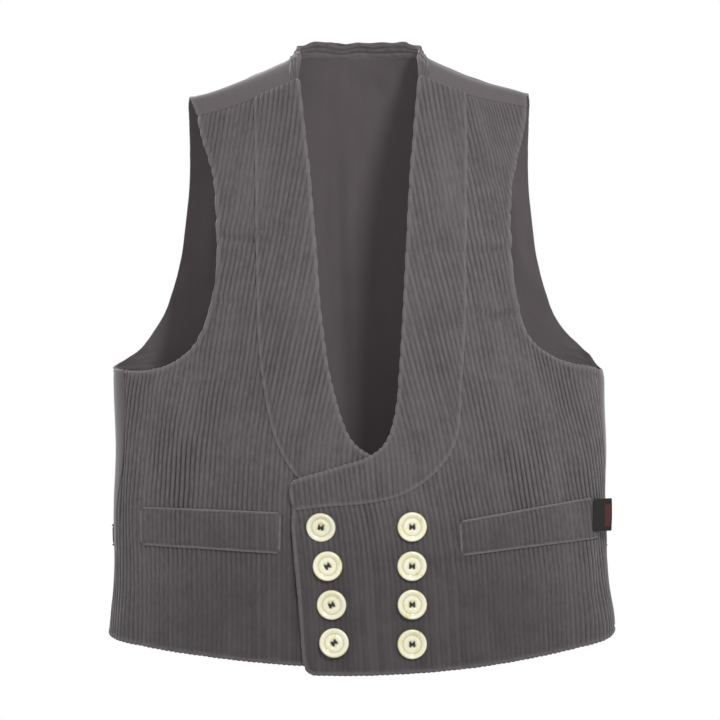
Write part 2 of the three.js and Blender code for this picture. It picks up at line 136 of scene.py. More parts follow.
def form_point(face, girth, z):
    """Points of the form, in mm. Past the side seam's quarter the girth runs on to the other face."""
    girth, z = np.broadcast_arrays(np.asarray(girth, float), np.asarray(z, float))
    own, far = quarter(face, z), quarter("back" if face == "front" else "front", z)
    past = np.abs(girth) - own[ARC_GIRTH]
    x, out = np.where(past > 0, along_quarter(far, far[ARC_GIRTH] - past), along_quarter(own, np.abs(girth)))
    in_front = (past <= 0) == (face == "front")
    rounding = np.where(in_front, ROLL_HEIGHT["front"], ROLL_HEIGHT["back"])
    drop = np.maximum(shoulder_line(x) - z, 0) / rounding
    fullness = np.where(drop >= 1, 1, np.sqrt(np.clip(1 - (1 - drop) ** 2, 0, 1)))
    y = RIDGE_Y + fullness * (np.where(in_front, -out, out) - RIDGE_Y)
    return np.stack([np.sign(girth) * x, y, z], -1)


def shoulder_point(girth, turn):
    """Points near the shoulder, by girth and degrees of turn past the shoulder line, back positive."""
    girth, turn = np.broadcast_arrays(np.asarray(girth, float), np.asarray(turn, float))
    angle = np.radians(np.abs(turn))
    points = {}
    for face in ("front", "back"):
        near_x = along_quarter(quarter(face, np.zeros(girth.shape)), np.abs(girth))[0]
        z = shoulder_line(near_x) - ROLL_HEIGHT[face] * (1 - np.cos(angle))
        x, out = along_quarter(quarter(face, z), np.abs(girth))
        y = RIDGE_Y + np.sin(angle) * ((-out if face == "front" else out) - RIDGE_Y)
        points[face] = np.stack([np.sign(girth) * x, y, z], -1)
    return np.where((turn < 0)[..., None], points["front"], points["back"])


half_waist = sum(quarter(face, np.array([WAIST]))[ARC_GIRTH][0] for face in ("front", "back"))
print("girth at the waist", round(2 * float(half_waist)), "mm")

# %% [markdown]
# ## Outlines
# A paper pattern is drawn with a few marks and a flexible curve. Here the marks are short lists of
# places (girth outwards from the middle of the front, height), and a spline runs through each list.
# Corners between two curves are cut round with a small radius, because cloth turned at a corner never
# keeps a sharp point.

# %% Curves and outlines
def smooth_line(marks, step=5.0):
    """A curve through marks, as points about step apart."""
    marks = np.array(marks, float)
    padded = np.vstack([2 * marks[0] - marks[1], marks, 2 * marks[-1] - marks[-2]])
    line = []
    for a, b, c, d in zip(padded, padded[1:], padded[2:], padded[3:]):
        count = max(1, round(np.linalg.norm(c - b) / step))
        for t in np.arange(count)[:, None] / count:
            line.append((2 * b + (c - a) * t + (2 * a - 5 * b + 4 * c - d) * t**2
                         + (3 * b - a - 3 * c + d) * t**3) / 2)
    return np.vstack([*line, marks[-1]])


def joined(runs, radius=1.5):
    """One closed outline from curves that follow each other, with its corners rounded."""
    outline = []
    for run, following in zip(runs, runs[1:] + runs[:1]):
        start, end = run[0], run[-1]
        keep = (np.hypot(*(run - start).T) >= radius) & (np.hypot(*(run - end).T) >= radius)
        near = following[np.hypot(*(following - following[0]).T) >= radius][0]
        last = run[keep][-1]
        outline.append(run[keep])
        t = np.linspace(0, 1, 5)[1:-1, None]
        outline.append((1 - t) ** 2 * last + 2 * t * (1 - t) * (end + following[0]) / 2 + t**2 * near)
    return np.vstack(outline)


def moved_in(line, amount, closed=True):
    """A line moved to its own left, which is inwards on an outline that runs anticlockwise."""
    before, after = (np.roll(line, 1, 0), np.roll(line, -1, 0)) if closed else (
        np.vstack([line[:1], line[:-1]]), np.vstack([line[1:], line[-1:]]))
    along = after - before
    along /= np.maximum(np.hypot(*along.T), 1e-9)[:, None]
    return line + amount * np.stack([-along[:, 1], along[:, 0]], -1)


def distance_to(points, lines):
    """How far each point, flat or on the form, lies from the nearest of some lines."""
    best = np.full(len(points), 1e6)
    for line in lines:
        for a, b in zip(line[:-1], line[1:]):
            run = b - a
            t = np.clip((points - a) @ run / max(run @ run, 1e-9), 0, 1)
            off = points - a - t[:, None] * run
            best = np.minimum(best, (off * off).sum(1))
    return np.sqrt(best)


# %% [markdown]
# ## The marks of the two fronts
# Each row crosses a front: its free edge, the line where the collar ends, and the armhole or the side
# seam. The two fronts differ, as on any worn garment. The left one laps over the right one.

# %% Marks of the fronts
FRONT_ROWS = {  # edge girth, edge height, collar line girth, its height, outer girth, its height
    "right": np.array([
        (54, -50, 100, -60, 154, -72), (50, -85, 99, -95, 146, -97), (46, -118, 98, -128, 139, -122),
        (43, -155, 98, -160, 136, -165), (40, -192, 97, -196, 136, -206), (37, -235, 96, -235, 141, -236),
        (33, -270, 95, -268, 150, -264), (29, -298, 93, -294, 165, -284), (24, -320, 90, -315, 192, -299),
        (18, -342, 86, -338, 222, -303), (11, -360, 80, -362, 237, -301), (2, -372, 69, -386, 236, -330),
        (-10, -380, 52, -407, 238, -360), (-26, -386, 28, -419, 241, -390),
        (-45, -393, -8, -427, 246, -415), (-62, -399, -45, -430, 251, -440),
        (-78, -406, -78, -432, 254, -465), (-76, -460, -76, -460, 260, -490),
        (-74, -490, -74, -490, 265, -513), (-72, -525, -72, -525, 269, -533),
        (-70, -562, -70, -562, 270, -545), (-66, -579, -66, -579, 271, -554)], float),
    "left": np.array([
        (54, -50, 103, -60, 160, -72), (51, -85, 103, -95, 153, -98), (48, -118, 102, -128, 147, -125),
        (46, -155, 102, -160, 145, -165), (44, -196, 101, -196, 147, -206),
        (42, -235, 101, -232, 152, -236), (40, -272, 100, -265, 160, -263),
        (38, -300, 98, -292, 175, -280), (36, -325, 96, -316, 202, -294), (33, -345, 95, -338, 228, -298),
        (28, -362, 92, -362, 244, -300), (20, -374, 81, -385, 246, -331), (6, -383, 61, -405, 250, -364),
        (-12, -389, 38, -418, 256, -395), (-35, -396, 8, -425, 264, -420),
        (-52, -401, -28, -428, 270, -443), (-65, -406, -62, -432, 272, -465),
        (-61, -456, -61, -456, 274, -490), (-58, -490, -58, -490, 275, -513),
        (-55, -522, -55, -522, 276, -530), (-51, -574, -51, -574, 277, -543),
        (-44, -585, -44, -585, 277, -551)], float),
}
HEM_DIP = {"right": 7.2, "left": 10.2}
COLLAR_GIRTH = {"right": 100, "left": 103}  # of the collar line at the shoulder seam
SEAM_MARKS = {  # girth, degrees of turn forward of the shoulder line: neck edge and armhole end
    "right": ((57, 26.6), (158, 23.9)),
    "left": ((57, 25.0), (165, 19.2)),
}
COLLAR_END, ARMHOLE_END = 16, 10  # rows


def seam_height(side, girth):
    """Where the shoulder seam lies on the front."""
    (g0, turn0), (g1, turn1) = SEAM_MARKS[side]
    turn = turn0 + (turn1 - turn0) * (np.asarray(girth, float) - g0) / (g1 - g0)
    return shoulder_point(SIGN[side] * np.asarray(girth, float), -turn)[..., 2]


def seam_run(side, start, end, count=14):
    girths = np.linspace(start, end, count)
    return np.stack([girths, seam_height(side, girths)], -1)


def neck_run(side):
    """The free edge from the shoulder down the neck opening to the front edge's top corner."""
    top = seam_run(side, SEAM_MARKS[side][0][0], 0, 1)
    return smooth_line([*top, *FRONT_ROWS[side][:COLLAR_END + 1, :2]])


def collar_line(side):
    top = seam_run(side, COLLAR_GIRTH[side], 0, 1)
    return smooth_line([*top, *FRONT_ROWS[side][:COLLAR_END + 1, 2:4]])


def edge_run(side):
    """The front edge below the collar."""
    rows = FRONT_ROWS[side]
    return smooth_line([rows[COLLAR_END, 2:4], *rows[COLLAR_END + 1:, :2]])


def outer_runs(side):
    """The armhole and the side seam."""
    rows = FRONT_ROWS[side]
    top = seam_run(side, SEAM_MARKS[side][1][0], 0, 1)
    armhole = smooth_line([*top, *rows[:ARMHOLE_END + 1, 4:6]])
    return armhole, smooth_line(rows[ARMHOLE_END:, 4:6])


def hem_run(side):
    """The hem from the side seam to the front edge. Its middle hangs a little lower."""
    (g0, z0), (g1, z1) = FRONT_ROWS[side][-1, 4:6], FRONT_ROWS[side][-1, :2]
    t = np.linspace(0, 1, 70)
    return np.stack([g0 + (g1 - g0) * t, z0 + (z1 - z0) * t - 4 * HEM_DIP[side] * t * (1 - t)], -1)


for side in SIGN:
    steps = np.diff(outer_runs(side)[0], axis=0)
    print(side, "front: armhole", round(float(np.hypot(*steps.T).sum())), "mm round")

# %% [markdown]
# ## Ribs
# Wide-wale corduroy has a pile rib about every 5 mm. In the flat cloth the ribs are straight. On the
# body they lean, because the cloth is pulled towards the shoulder and the side. A piece therefore keeps
# two sets of places: across the ribs in the flat cloth, and the girth on the form. A small table says how
# far a rib has moved sideways at each height.

# %% Rib lines
PITCH = 4.85  # mm from rib to rib
RIB_STEPS = (0.0, 0.13, 0.31, 0.5, 0.69, 0.87)  # where a rib is sliced, closer together at its groove
RIB_HEIGHT = 1.05
SIDE_FROM, SIDE_SPAN = 190, 80  # across the ribs: where the cloth is pulled to the side as well


class RibMap:
    """Turns a place across the ribs into girth, and back."""

    def __init__(self, heights, shifts, side_share=0.0, wobble=0.35):
        self.heights, self.shifts = heights, shifts
        self.side_share, self.wobble = side_share, wobble

    def girth(self, rib, z):
        shift = hermite(self.heights, self.shifts, z)
        shift = shift * (1 + self.side_share * ease((rib - SIDE_FROM) / SIDE_SPAN))
        drift = self.wobble * np.sin(z / 19 + 2.1 * np.sin(rib / 31)) * np.cos(rib / 47)
        return rib + shift + drift

    def rib(self, girth, z):
        rib = np.array(girth, float)
        for _ in range(12):
            rib = girth - (self.girth(rib, z) - rib)
        return rib

    def flat(self, line):
        return np.stack([self.rib(line[:, 0], line[:, 1]), line[:, 1]], -1)

    def edges(self, *lines):
        """The same lines in the flat cloth, each with the way its edge is made up."""
        return [(self.flat(line), kind) for line, kind in lines]


LEVELS = (-600, -540, -500, -470, -440, -420, -366, -300, -240, -180, -120, -60, 20)
RIBS = {
    "front_right": RibMap(LEVELS, (0, 0, 0, 0, -0.2, -0.8, -5, -15, -25, -35, -45, -54, -64), 0.2),
    "front_left": RibMap(LEVELS, (0, -3, -5, -8, -12, -16, -26, -39, -51, -63, -75, -89, -104), 0.25),
    "collar_right": RibMap(LEVELS, (0, 0, 0, 0, 0, -0.5, -5, -18, -31, -43, -54, -62, -68), 0, 0.6),
    "collar_left": RibMap(LEVELS, (0, 0, 0, 0, 0, -1.5, -8, -24, -39, -53, -65, -76, -86), 0, 0.6),
    "welt_right": RibMap(LEVELS, (0, 0, 0, 1, 1.5, 2, 2, 2, 2, 2, 2, 2, 2), 0, 0.3),
    "welt_left": RibMap(LEVELS, (0, 0, 0, -2, -5, -8, -10, -10, -10, -10, -10, -10, -10), 0, 0.3),
}


def rib_profile(rib):
    """The rounded top of each rib, from 0 in the groove to 1."""
    return np.abs(np.sin(np.pi * rib / PITCH)) ** 0.62


def unevenness(a, b, size):
    """Soft lumps from -1 to 1, about size mm apart, that never repeat within one piece."""
    turn = 2 * math.pi / size
    return (np.sin(turn * (0.9 * b + 0.31 * a) + 1.7 * np.sin(turn * 0.37 * b - 0.5))
            * np.cos(turn * 0.41 * a + 1.3 * np.sin(turn * 0.29 * b + 0.16 * turn * a)))


def rib_cuts(low, high):
    first, last = math.floor(low / PITCH), math.ceil(high / PITCH)
    cuts = [(k + part) * PITCH for k in range(first, last) for part in RIB_STEPS]
    return [c for c in cuts if low < c < high]


def spaced_rows(*stretches):
    """Heights of the level cuts: (from, to, spacing) for each stretch."""
    return np.concatenate([np.arange(top, bottom, -step) for top, bottom, step in stretches])


waist_row = FRONT_ROWS["right"][COLLAR_END]
print("ribs across the right front at the waist:", round((waist_row[4] - waist_row[0]) / PITCH))

# %% [markdown]
# ## Cutting, slicing and thickening
# The outline becomes one flat face, and bisect_plane slices it along every rib and across at many
# heights, so that the outline stays exact and each cell follows a rib. extrude_face_region then makes
# the second side of the cloth, and the wall between the two sides is divided so that the edge can be
# rounded. A Solidify modifier would be less work, but it could not make a ribbed outside, a plain inside
# and a rolled edge at once.

# %% Flat shells
SNAP = 0.08  # mm: a cut this close to a corner goes through it


def cut_flat(outline, across, along):
    """A flat face from an outline, sliced at places across and along."""
    bm = bmesh.new()
    bm.faces.new([bm.verts.new((a, b, 0)) for a, b in outline])
    for places, normal in ((across, Vector((1, 0, 0))), (along, Vector((0, 1, 0)))):
        for place in places:
            bmesh.ops.bisect_plane(bm, geom=bm.verts[:] + bm.edges[:] + bm.faces[:], dist=SNAP,
                                   plane_co=normal * place, plane_no=normal)
    return bm


def cut_ribbed(ribs, outline, inset, *stretches):
    """A closed shell from an outline on the form, sliced along its ribs and level across them."""
    flat = ribs.flat(outline)
    low, high = flat[:, 0].min(), flat[:, 0].max()
    return thicken(cut_flat(moved_in(flat, inset), rib_cuts(low, high), spaced_rows(*stretches)))


def grid_flat(columns, rows, extra=()):
    """A flat grid from 0 to 1 both ways, with extra cuts across it."""
    bm = bmesh.new()
    bmesh.ops.create_grid(bm, x_segments=columns, y_segments=rows, size=0.5,
                          matrix=Matrix.Translation((0.5, 0.5, 0)))
    for place in extra:
        bmesh.ops.bisect_plane(bm, geom=bm.verts[:] + bm.edges[:] + bm.faces[:], dist=1e-5,
                               plane_co=(place, 0, 0), plane_no=(1, 0, 0))
    return bm


def thicken(bm, rings=3):
    """A closed shell from -1 to 1 in thickness, with rings round its edge."""
    bmesh.ops.translate(bm, verts=bm.verts[:], vec=(0, 0, -1))
    made = bmesh.ops.extrude_face_region(bm, geom=bm.verts[:] + bm.edges[:] + bm.faces[:],
                                         use_keep_orig=True)
    top = [v for v in made["geom"] if isinstance(v, bmesh.types.BMVert)]
    bmesh.ops.translate(bm, verts=top, vec=(0, 0, 2))
    walls = [e for e in bm.edges if abs(e.verts[0].co.z - e.verts[1].co.z) > 1]
    bmesh.ops.subdivide_edges(bm, edges=walls, cuts=rings, use_grid_fill=True)
    bmesh.ops.recalc_face_normals(bm, faces=bm.faces[:])
    return bm


def read_vectors(items, name, width=3):
    values = np.empty(len(items) * width, np.float32)
    items.foreach_get(name, values)
    return values.reshape(-1, width).astype(float)


def read_numbers(items, name, kind=np.int32):
    values = np.empty(len(items), kind)
    items.foreach_get(name, values)
    return values


def write_numbers(mesh, label, values):
    """Gives every point of a mesh a number that its material can read."""
    made = mesh.attributes.new(label, "FLOAT", "POINT")
    made.data.foreach_set("value", values.astype(np.float32))


# %% [markdown]
# ## Wrapping a shell on the form
# Each point of the shell knows its place in the cloth and its side of it. It is set on the form, and then
# lifted along the form's normal by half the thickness, the rib, the soft creases and the rolled edge.
# Points of the edge also move outwards, so the edge is a round fold, and the ribs run over it and make
# it slightly toothed.

# %% Creases and wrapping
PIECES = {}
CREASE_DEPTH = 1.8  # mm, for a crease whose depth is 1


def crease_lift(creases, girth, z):
    """The sum of soft troughs and ridges: girth, height, angle, length, width, depth and bend of each."""
    lift = np.zeros(len(girth))
    for g0, z0, angle, length, width, depth, bend in creases:
        c, s = math.cos(math.radians(angle)), math.sin(math.radians(angle))
        along = (girth - g0) * c + (z - z0) * s
        cross = (z - z0) * c - (girth - g0) * s - bend * (along / length) ** 2 * length
        taper = np.exp(-(2 * along / length) ** 4)
        lift -= CREASE_DEPTH * depth * taper * np.exp(-(cross / width) ** 2)
    return lift


def frames_on(at, a, b, step):
    """Points, the two unit directions along the cloth and the outward normal."""
    point = at(a, b)
    across = at(a + step, b) - at(a - step, b)
    along = at(a, b + step) - at(a, b - step)
    across /= np.linalg.norm(across, axis=1)[:, None]
    along /= np.linalg.norm(along, axis=1)[:, None]
    normal = np.cross(across, along)
    normal /= np.linalg.norm(normal, axis=1)[:, None]
    outward = np.stack([point[:, 0] / 2, point[:, 1] - RIDGE_Y, np.full(len(point), 80.0)], -1)
    normal[(normal * outward).sum(1) < 0] *= -1
    return point, across, along, normal


def enclosed_volume(mesh, points):
    mesh.calc_loop_triangles()
    corners = np.empty(len(mesh.loop_triangles) * 3, np.int32)
    mesh.loop_triangles.foreach_get("vertices", corners)
    p, q, r = (points[corners[k::3]] for k in range(3))
    return float((p * np.cross(q, r)).sum() / 6)


STRAY = (  # x, height, reach, outwards, upwards: where the cloth strays from the even form
    (-236, -378, 40, 2.0, 0), (-240, -500, 45, 3.0, 0), (240, -378, 35, 2.0, 0), (242, -545, 30, 5.0, 0),
    (214, -282, 18, 4.5, 0), (-150, -31, 32, 0, -2.0), (152, -35, 26, 0, 2.0),
    (241, -292, 10, -4.5, -2.5))


def strayed(points):
    """Points moved by the soft pulls of the table, which all pieces share, so their seams stay closed."""
    moved = points.copy()
    for x, z, reach, out, up in STRAY:
        pull = np.exp(-((points[:, 0] - x) ** 2 + (points[:, 2] - z) ** 2) / reach**2)
        moved[:, 0] += out * pull
        moved[:, 2] += up * pull
    return moved


def nap_strength(point):
    """How strongly the ribs show: most at the sides of the chest, least low down in front."""
    x, _, z = point.T
    sides = ease((np.abs(x) - 120) / 60) * ease((z + 540) / 60) * ease((-230 - z) / 60)
    low = ease((-470 - z) / 50) * ease((200 - np.abs(x)) / 70)
    overlap = ease((-420 - z) / 40) * ease((100 - np.abs(x)) / 40)
    return 1 + 0.45 * sides - 0.45 * low - 0.22 * overlap


def painted_lower_shade(point):
    """Painted shade: how much the cloth is darkened low down in front, fading towards the sides."""
    x, _, z = point.T
    return ease((-395 - z) / 95) * (1 - 0.85 * ease((np.abs(x) - 150) / 75))


# how an edge is made up: ridge height, its place and width, groove depth, its place and width, lumps, wear
# and painted highlight
EDGES = {
    "rolled": (0.45, 1.4, 1.5, 0.50, 4.8, 1.0, 0.30, 1.0),
    "flat": (0.28, 1.1, 1.1, 0.45, 4.4, 0.8, 0.16, 1.0),
    "piped": (0.62, 0.7, 0.7, 0.85, 2.4, 0.85, 0.12, 1.9),
    "plain": (0.20, 1.2, 1.2, 0.30, 5.0, 0.9, 0.10, 1.0),
    "seam": (0.15, 1.9, 0.9, 0.45, 0.0, 0.9, 0.0, 0.3),
    "sewn": (-0.9, 0.0, 2.6, 0.0, 0.0, 2.0, 0.0, 0.0),
    "fold": (0.0, 1.0, 1.0, 0.0, 4.0, 1.0, 0.05, 1.0),
}


def wrap_cloth(name, bm, material, at, top, bottom, roll, flat=None, step=0.5, lift=None,
               rib_height=0.0, ribs_inside=0.0, edges=(), serration=0.9, edges_on_form=False, nap=1.0):
    """Wraps a flat shell and keeps the piece in PIECES. at(a, b) is the form; top and bottom are the
    heights of the two sides above it. flat(a, b) gives the place in the flat cloth, in mm.
    lift(a, b, point) is added to both sides. edges are pairs of a line, in flat mm or on the form, and
    the way that edge is made up."""
    mesh = bpy.data.meshes.new(name)
    bm.to_mesh(mesh)
    bm.free()
    shell = read_vectors(mesh.vertices, "co")
    a, b, t = shell.T
    out_dir = read_vectors(mesh.vertices, "normal")[:, :2]
    out_dir /= np.maximum(np.hypot(*out_dir.T), 1e-6)[:, None]
    cos = np.clip(t, -1, 1)
    sin = np.sqrt(1 - cos**2)
    flat_mm = np.stack([a, b], -1) if flat is None else flat(a, b)
    point, across, along, normal = frames_on(at, a, b, step)
    nap = nap * nap_strength(point)
    relief = rib_height * rib_profile(flat_mm[:, 0]) * (0.5 + 0.5 * nap)
    relief *= 1 + 0.16 * unevenness(*flat_mm.T, 37)
    edge, lumps, wear_and_highlight_mask = 0 * a, 0 * a, 0 * a
    for line, kind in edges:
        near = distance_to(point if edges_on_form else flat_mm, [line])
        ridge, place, width, groove, trench, narrow, lump, wear_and_highlight = EDGES[kind]
        sunk = np.exp(-((near - trench) / narrow) ** 2)
        edge += ridge * np.exp(-((near - place) / width) ** 2) - groove * sunk
        relief *= 1 - 0.5 * sunk
        lumps = np.maximum(lumps, lump * np.exp(-(near / 3.5) ** 2))
        # The edge is lightened along its ridge, partly as wear and partly as a painted highlight.
        wear_and_highlight_mask = np.maximum(wear_and_highlight_mask, wear_and_highlight * np.exp(-((near - place) / (1.35 * width)) ** 2))
    lumps *= unevenness(*flat_mm.T, 15)
    top, bottom = top + 0 * a, bottom + 0 * a
    inside = np.where(cos < 0, ribs_inside, 1.0)
    wear_and_highlight_mask *= inside
    up = (top + bottom) / 2 + (top - bottom) / 2 * cos + cos * inside * (relief + edge) + lumps
    out = (roll + serration * relief * np.maximum(inside, 0.3) + lumps) * sin
    if lift is not None:
        up = up + lift(a, b, point)
    outwards = across * out_dir[:, :1] + along * out_dir[:, 1:]
    placed = strayed(point + normal * up[:, None] + outwards * out[:, None]) * MM
    mesh.vertices.foreach_set("co", placed.astype(np.float32).ravel())
    if enclosed_volume(mesh, placed) < 0:
        mesh.flip_normals()
    corner = read_numbers(mesh.loops, "vertex_index")
    uv = mesh.uv_layers.new(name="cloth")
    uv.data.foreach_set("uv", (flat_mm[corner] * MM).astype(np.float32).ravel())
    # The edges' mask lightens them as wear and as a painted highlight; the lower-front mask darkens it as
    # painted shade.
    for label, values in (("wear_and_highlight", wear_and_highlight_mask), ("side", t), ("nap", nap), ("painted_low_shade", painted_lower_shade(point))):
        write_numbers(mesh, label, values)
    mesh.polygons.foreach_set("use_smooth", np.ones(len(mesh.polygons), bool))
    mesh.update()
    mesh.materials.append(material)
    PIECES[name] = bpy.data.objects.new(f"{name}_cloth", mesh)
    bpy.context.scene.collection.objects.link(PIECES[name])
    print(name, len(mesh.polygons), "faces")


def line_inside(name, material, upto=None):
    """Gives the inner side of a piece its own cloth, as far as upto mm across it."""
    mesh = PIECES[name].data
    mesh.materials.append(material)
    t = read_numbers(mesh.attributes["side"].data, "value", np.float32)
    across = read_vectors(mesh.uv_layers["cloth"].data, "uv", 2)[:, 0]
    corner = read_numbers(mesh.loops, "vertex_index")
    starts = read_numbers(mesh.polygons, "loop_start")
    inner = np.maximum.reduceat(t[corner], starts) < -0.45
    if upto is not None:
        inner &= np.maximum.reduceat(across, starts) < upto * MM
    mesh.polygons.foreach_set("material_index", inner.astype(np.int32))


# %% [markdown]
# ## Shader groups
# Three effects are node groups, each built once and placed in the finishes that need it. The first is
# the pile: fine short fibres drawn out along the ribs, and the grooves, which are painted darker as shade.
# The second is a fine twill. The third lightens edges, as wear and as a painted highlight on their ridge.
# The groups put out masks only; colours and shine stay in each material.

# %% Node helpers
def new_group(name, numbers, masks):
    """A node group that takes a place in the cloth and some numbers, and puts out masks."""
    group = bpy.data.node_groups.new(name, "ShaderNodeTree")
    group.interface.new_socket(name="Vector", in_out="INPUT", socket_type="NodeSocketVector")
    for socket, value in numbers.items():
        made = group.interface.new_socket(name=socket, in_out="INPUT", socket_type="NodeSocketFloat")
        made.default_value = value
    for socket in masks:
        group.interface.new_socket(name=socket, in_out="OUTPUT", socket_type="NodeSocketFloat")
    return group, group.nodes.new("NodeGroupInput").outputs, group.nodes.new("NodeGroupOutput")


def give(group, result, **masks):
    for socket, made in masks.items():
        group.links.new(made, result.inputs[socket])


def put(tree, kind, inputs=None, **settings):
    """Adds a node. inputs are values, or sockets to link from."""
    node = tree.nodes.new(kind)
    for name, value in settings.items():
        setattr(node, name, value)
    for key, value in (inputs or {}).items():
        if isinstance(value, bpy.types.NodeSocket):
            tree.links.new(value, node.inputs[key])
        else:
            node.inputs[key].default_value = value
    return node


def maths(tree, operation, a, b=0.0, c=0.0):
    return put(tree, "ShaderNodeMath", {0: a, 1: b, 2: c}, operation=operation).outputs[0]


def times(tree, a, b):
    return maths(tree, "MULTIPLY", a, b)


def times_plus(tree, a, factor, added):
    return maths(tree, "MULTIPLY_ADD", a, factor, added)


def mixed(tree, factor, a, b):
    """Colour a where the factor is 0 and b where it is 1. Sockets 6 and 7 of the node are its colours."""
    return put(tree, "ShaderNodeMix", {0: factor, 6: a, 7: b}, data_type="RGBA").outputs[2]


def noise(tree, vector, scale, detail=3.0, roughness=0.55):
    return put(tree, "ShaderNodeTexNoise", {"Vector": vector, "Scale": scale, "Detail": detail,
                                            "Roughness": roughness}).outputs["Fac"]


def stretched(tree, vector, scale):
    return put(tree, "ShaderNodeMapping", {"Vector": vector, "Scale": scale}).outputs[0]


# %% The pile, twill and edge wear and highlight groups
pile, given, result = new_group("pile", {}, ("Fibre", "Groove", "Mottle", "Matting"))
u = put(pile, "ShaderNodeSeparateXYZ", {0: given["Vector"]}).outputs[0]
ribs_passed = maths(pile, "DIVIDE", u, PITCH * MM)
crown = maths(pile, "SINE", times(pile, maths(pile, "FRACT", ribs_passed), math.pi))
groove = maths(pile, "SUBTRACT", 1.0, maths(pile, "POWER", crown, 0.8))
fibres = noise(pile, stretched(pile, given["Vector"], (1.0, 0.45, 1.0)), 2600.0, 2.0)
clumps = noise(pile, stretched(pile, given["Vector"], (1.0, 0.3, 1.0)), 420.0, 3.0)
clouds = noise(pile, given["Vector"], 38.0, 3.0)
matting = noise(pile, stretched(pile, given["Vector"], (1.0, 0.4, 1.0)), 22.0, 4.0)
each_rib = put(pile, "ShaderNodeTexWhiteNoise", {"W": maths(pile, "FLOOR", ribs_passed)},
               noise_dimensions="1D").outputs["Value"]
give(pile, result, Fibre=times_plus(pile, clumps, 0.55, times(pile, fibres, 0.45)), Groove=groove,
     Mottle=times_plus(pile, each_rib, 0.3, times(pile, clouds, 0.85)), Matting=matting)

twill, given, result = new_group("twill", {"Threads per metre": 1900.0}, ("Weave", "Slub"))
turned = put(twill, "ShaderNodeMapping", {"Vector": given["Vector"], "Rotation": (0, 0, math.radians(40))})
lines = put(twill, "ShaderNodeSeparateXYZ", {0: turned.outputs[0]}).outputs
wale, pick = (times(twill, lines[k], given["Threads per metre"]) for k in (0, 1))
fine = maths(twill, "SINE", times(twill, wale, 2 * math.pi))
cross = maths(twill, "SINE", times(twill, pick, math.pi))
give(twill, result, Weave=times_plus(twill, fine, 0.35, times_plus(twill, cross, 0.15, 0.5)),
     Slub=noise(twill, stretched(twill, given["Vector"], (1.0, 0.25, 1.0)), 90.0, 4.0))

edge_wear_and_highlight, given, result = new_group("edge_wear_and_highlight", {"Wear and highlight": 0.0, "Amount": 0.5}, ("Mask",))
patchy = times_plus(edge_wear_and_highlight, noise(edge_wear_and_highlight, given["Vector"], 160.0, 3.0), 0.9, 0.35)
give(edge_wear_and_highlight, result, Mask=times(edge_wear_and_highlight, times(edge_wear_and_highlight, given["Wear and highlight"], given["Amount"]), patchy))
print("groups:", [g.name for g in bpy.data.node_groups])


# %% [markdown]
# ## Cloth finishes
# The corduroy is a warm mid grey cotton. The grooves between its ribs are painted darker as shade, and
# the lower front is painted darker too, fading towards the sides; the edges are lightened as wear and as a
# painted highlight. The pile gives a soft sheen where it is seen from the side. The back is smooth twill of
# the same grey, a little lighter, because it has no pile to hold shadows.

# %% Cloth materials
def new_material(name, roughness, **constants):
    material = bpy.data.materials.new(name)
    material.use_nodes = True
    shader = material.node_tree.nodes["Principled BSDF"]
    shader.inputs["Roughness"].default_value = roughness
    for key, value in constants.items():
        shader.inputs[key.replace("_", " ")].default_value = value
    return material, material.node_tree, shader


def add_group(tree, group, inputs):
    return put(tree, "ShaderNodeGroup", inputs, node_tree=group)


def object_place(tree):
    return put(tree, "ShaderNodeTexCoord").outputs["Object"]


def attribute(tree, name):
    return put(tree, "ShaderNodeAttribute", attribute_name=name).outputs["Fac"]


def surface(tree, shader, colour, height, strength, distance):
    """Gives a shader its colour and a fine bump, whose distance is in metres."""
    tree.links.new(colour, shader.inputs["Base Color"])
    bump = put(tree, "ShaderNodeBump", {"Height": height, "Strength": strength, "Distance": distance})
    tree.links.new(bump.outputs[0], shader.inputs["Normal"])


def cloth_inputs(tree):
    """The piece's own cloth map, and the mask that lightens its edges as wear and as a painted highlight."""
    return put(tree, "ShaderNodeUVMap", uv_map="cloth").outputs[0], attribute(tree, "wear_and_highlight")


def make_corduroy():
    material, tree, shader = new_material("corduroy", 0.92, Sheen_Weight=0.8, Sheen_Roughness=0.4,
                                          Sheen_Tint=(0.80, 0.77, 0.78, 1), Specular_IOR_Level=0.12)
    uv, wear_and_highlight = cloth_inputs(tree)
    hair = add_group(tree, pile, {"Vector": uv})
    wear_and_highlight_node = add_group(tree, edge_wear_and_highlight, {"Wear and highlight": wear_and_highlight, "Vector": uv, "Amount": 0.75})
    base = mixed(tree, times_plus(tree, hair.outputs["Mottle"], 2.9, -1.05),
                 (0.078, 0.070, 0.074, 1), (0.118, 0.107, 0.112, 1))
    nap = attribute(tree, "nap")
    flattened = times_plus(tree, hair.outputs["Matting"], 2.2, -0.65)
    bright = times(tree, times_plus(tree, hair.outputs["Fibre"], 2.4, -0.75), nap)
    fibre = mixed(tree, bright, base, (0.168, 0.154, 0.160, 1))
    depth = put(tree, "ShaderNodeClamp", {0: flattened, 1: 0.2, 2: 0.9}).outputs[0]
    # Painted shade: the grooves between the ribs are darkened, more where the ribs are meant to show more.
    dark = times(tree, times(tree, hair.outputs["Groove"], depth), nap)
    shaded = mixed(tree, dark, fibre, (0.039, 0.034, 0.036, 1))
    # Painted shade: the lower front is darkened, fading towards the sides.
    low = times(tree, attribute(tree, "painted_low_shade"), 0.35)
    painted_low_shade = mixed(tree, low, shaded, (0.043, 0.038, 0.041, 1))
    # Edges are lightened, as wear and as a painted highlight.
    colour = mixed(tree, wear_and_highlight_node.outputs[0], painted_low_shade, (0.180, 0.167, 0.172, 1))
    surface(tree, shader, colour, hair.outputs["Fibre"], 0.55, 0.0004)
    return material


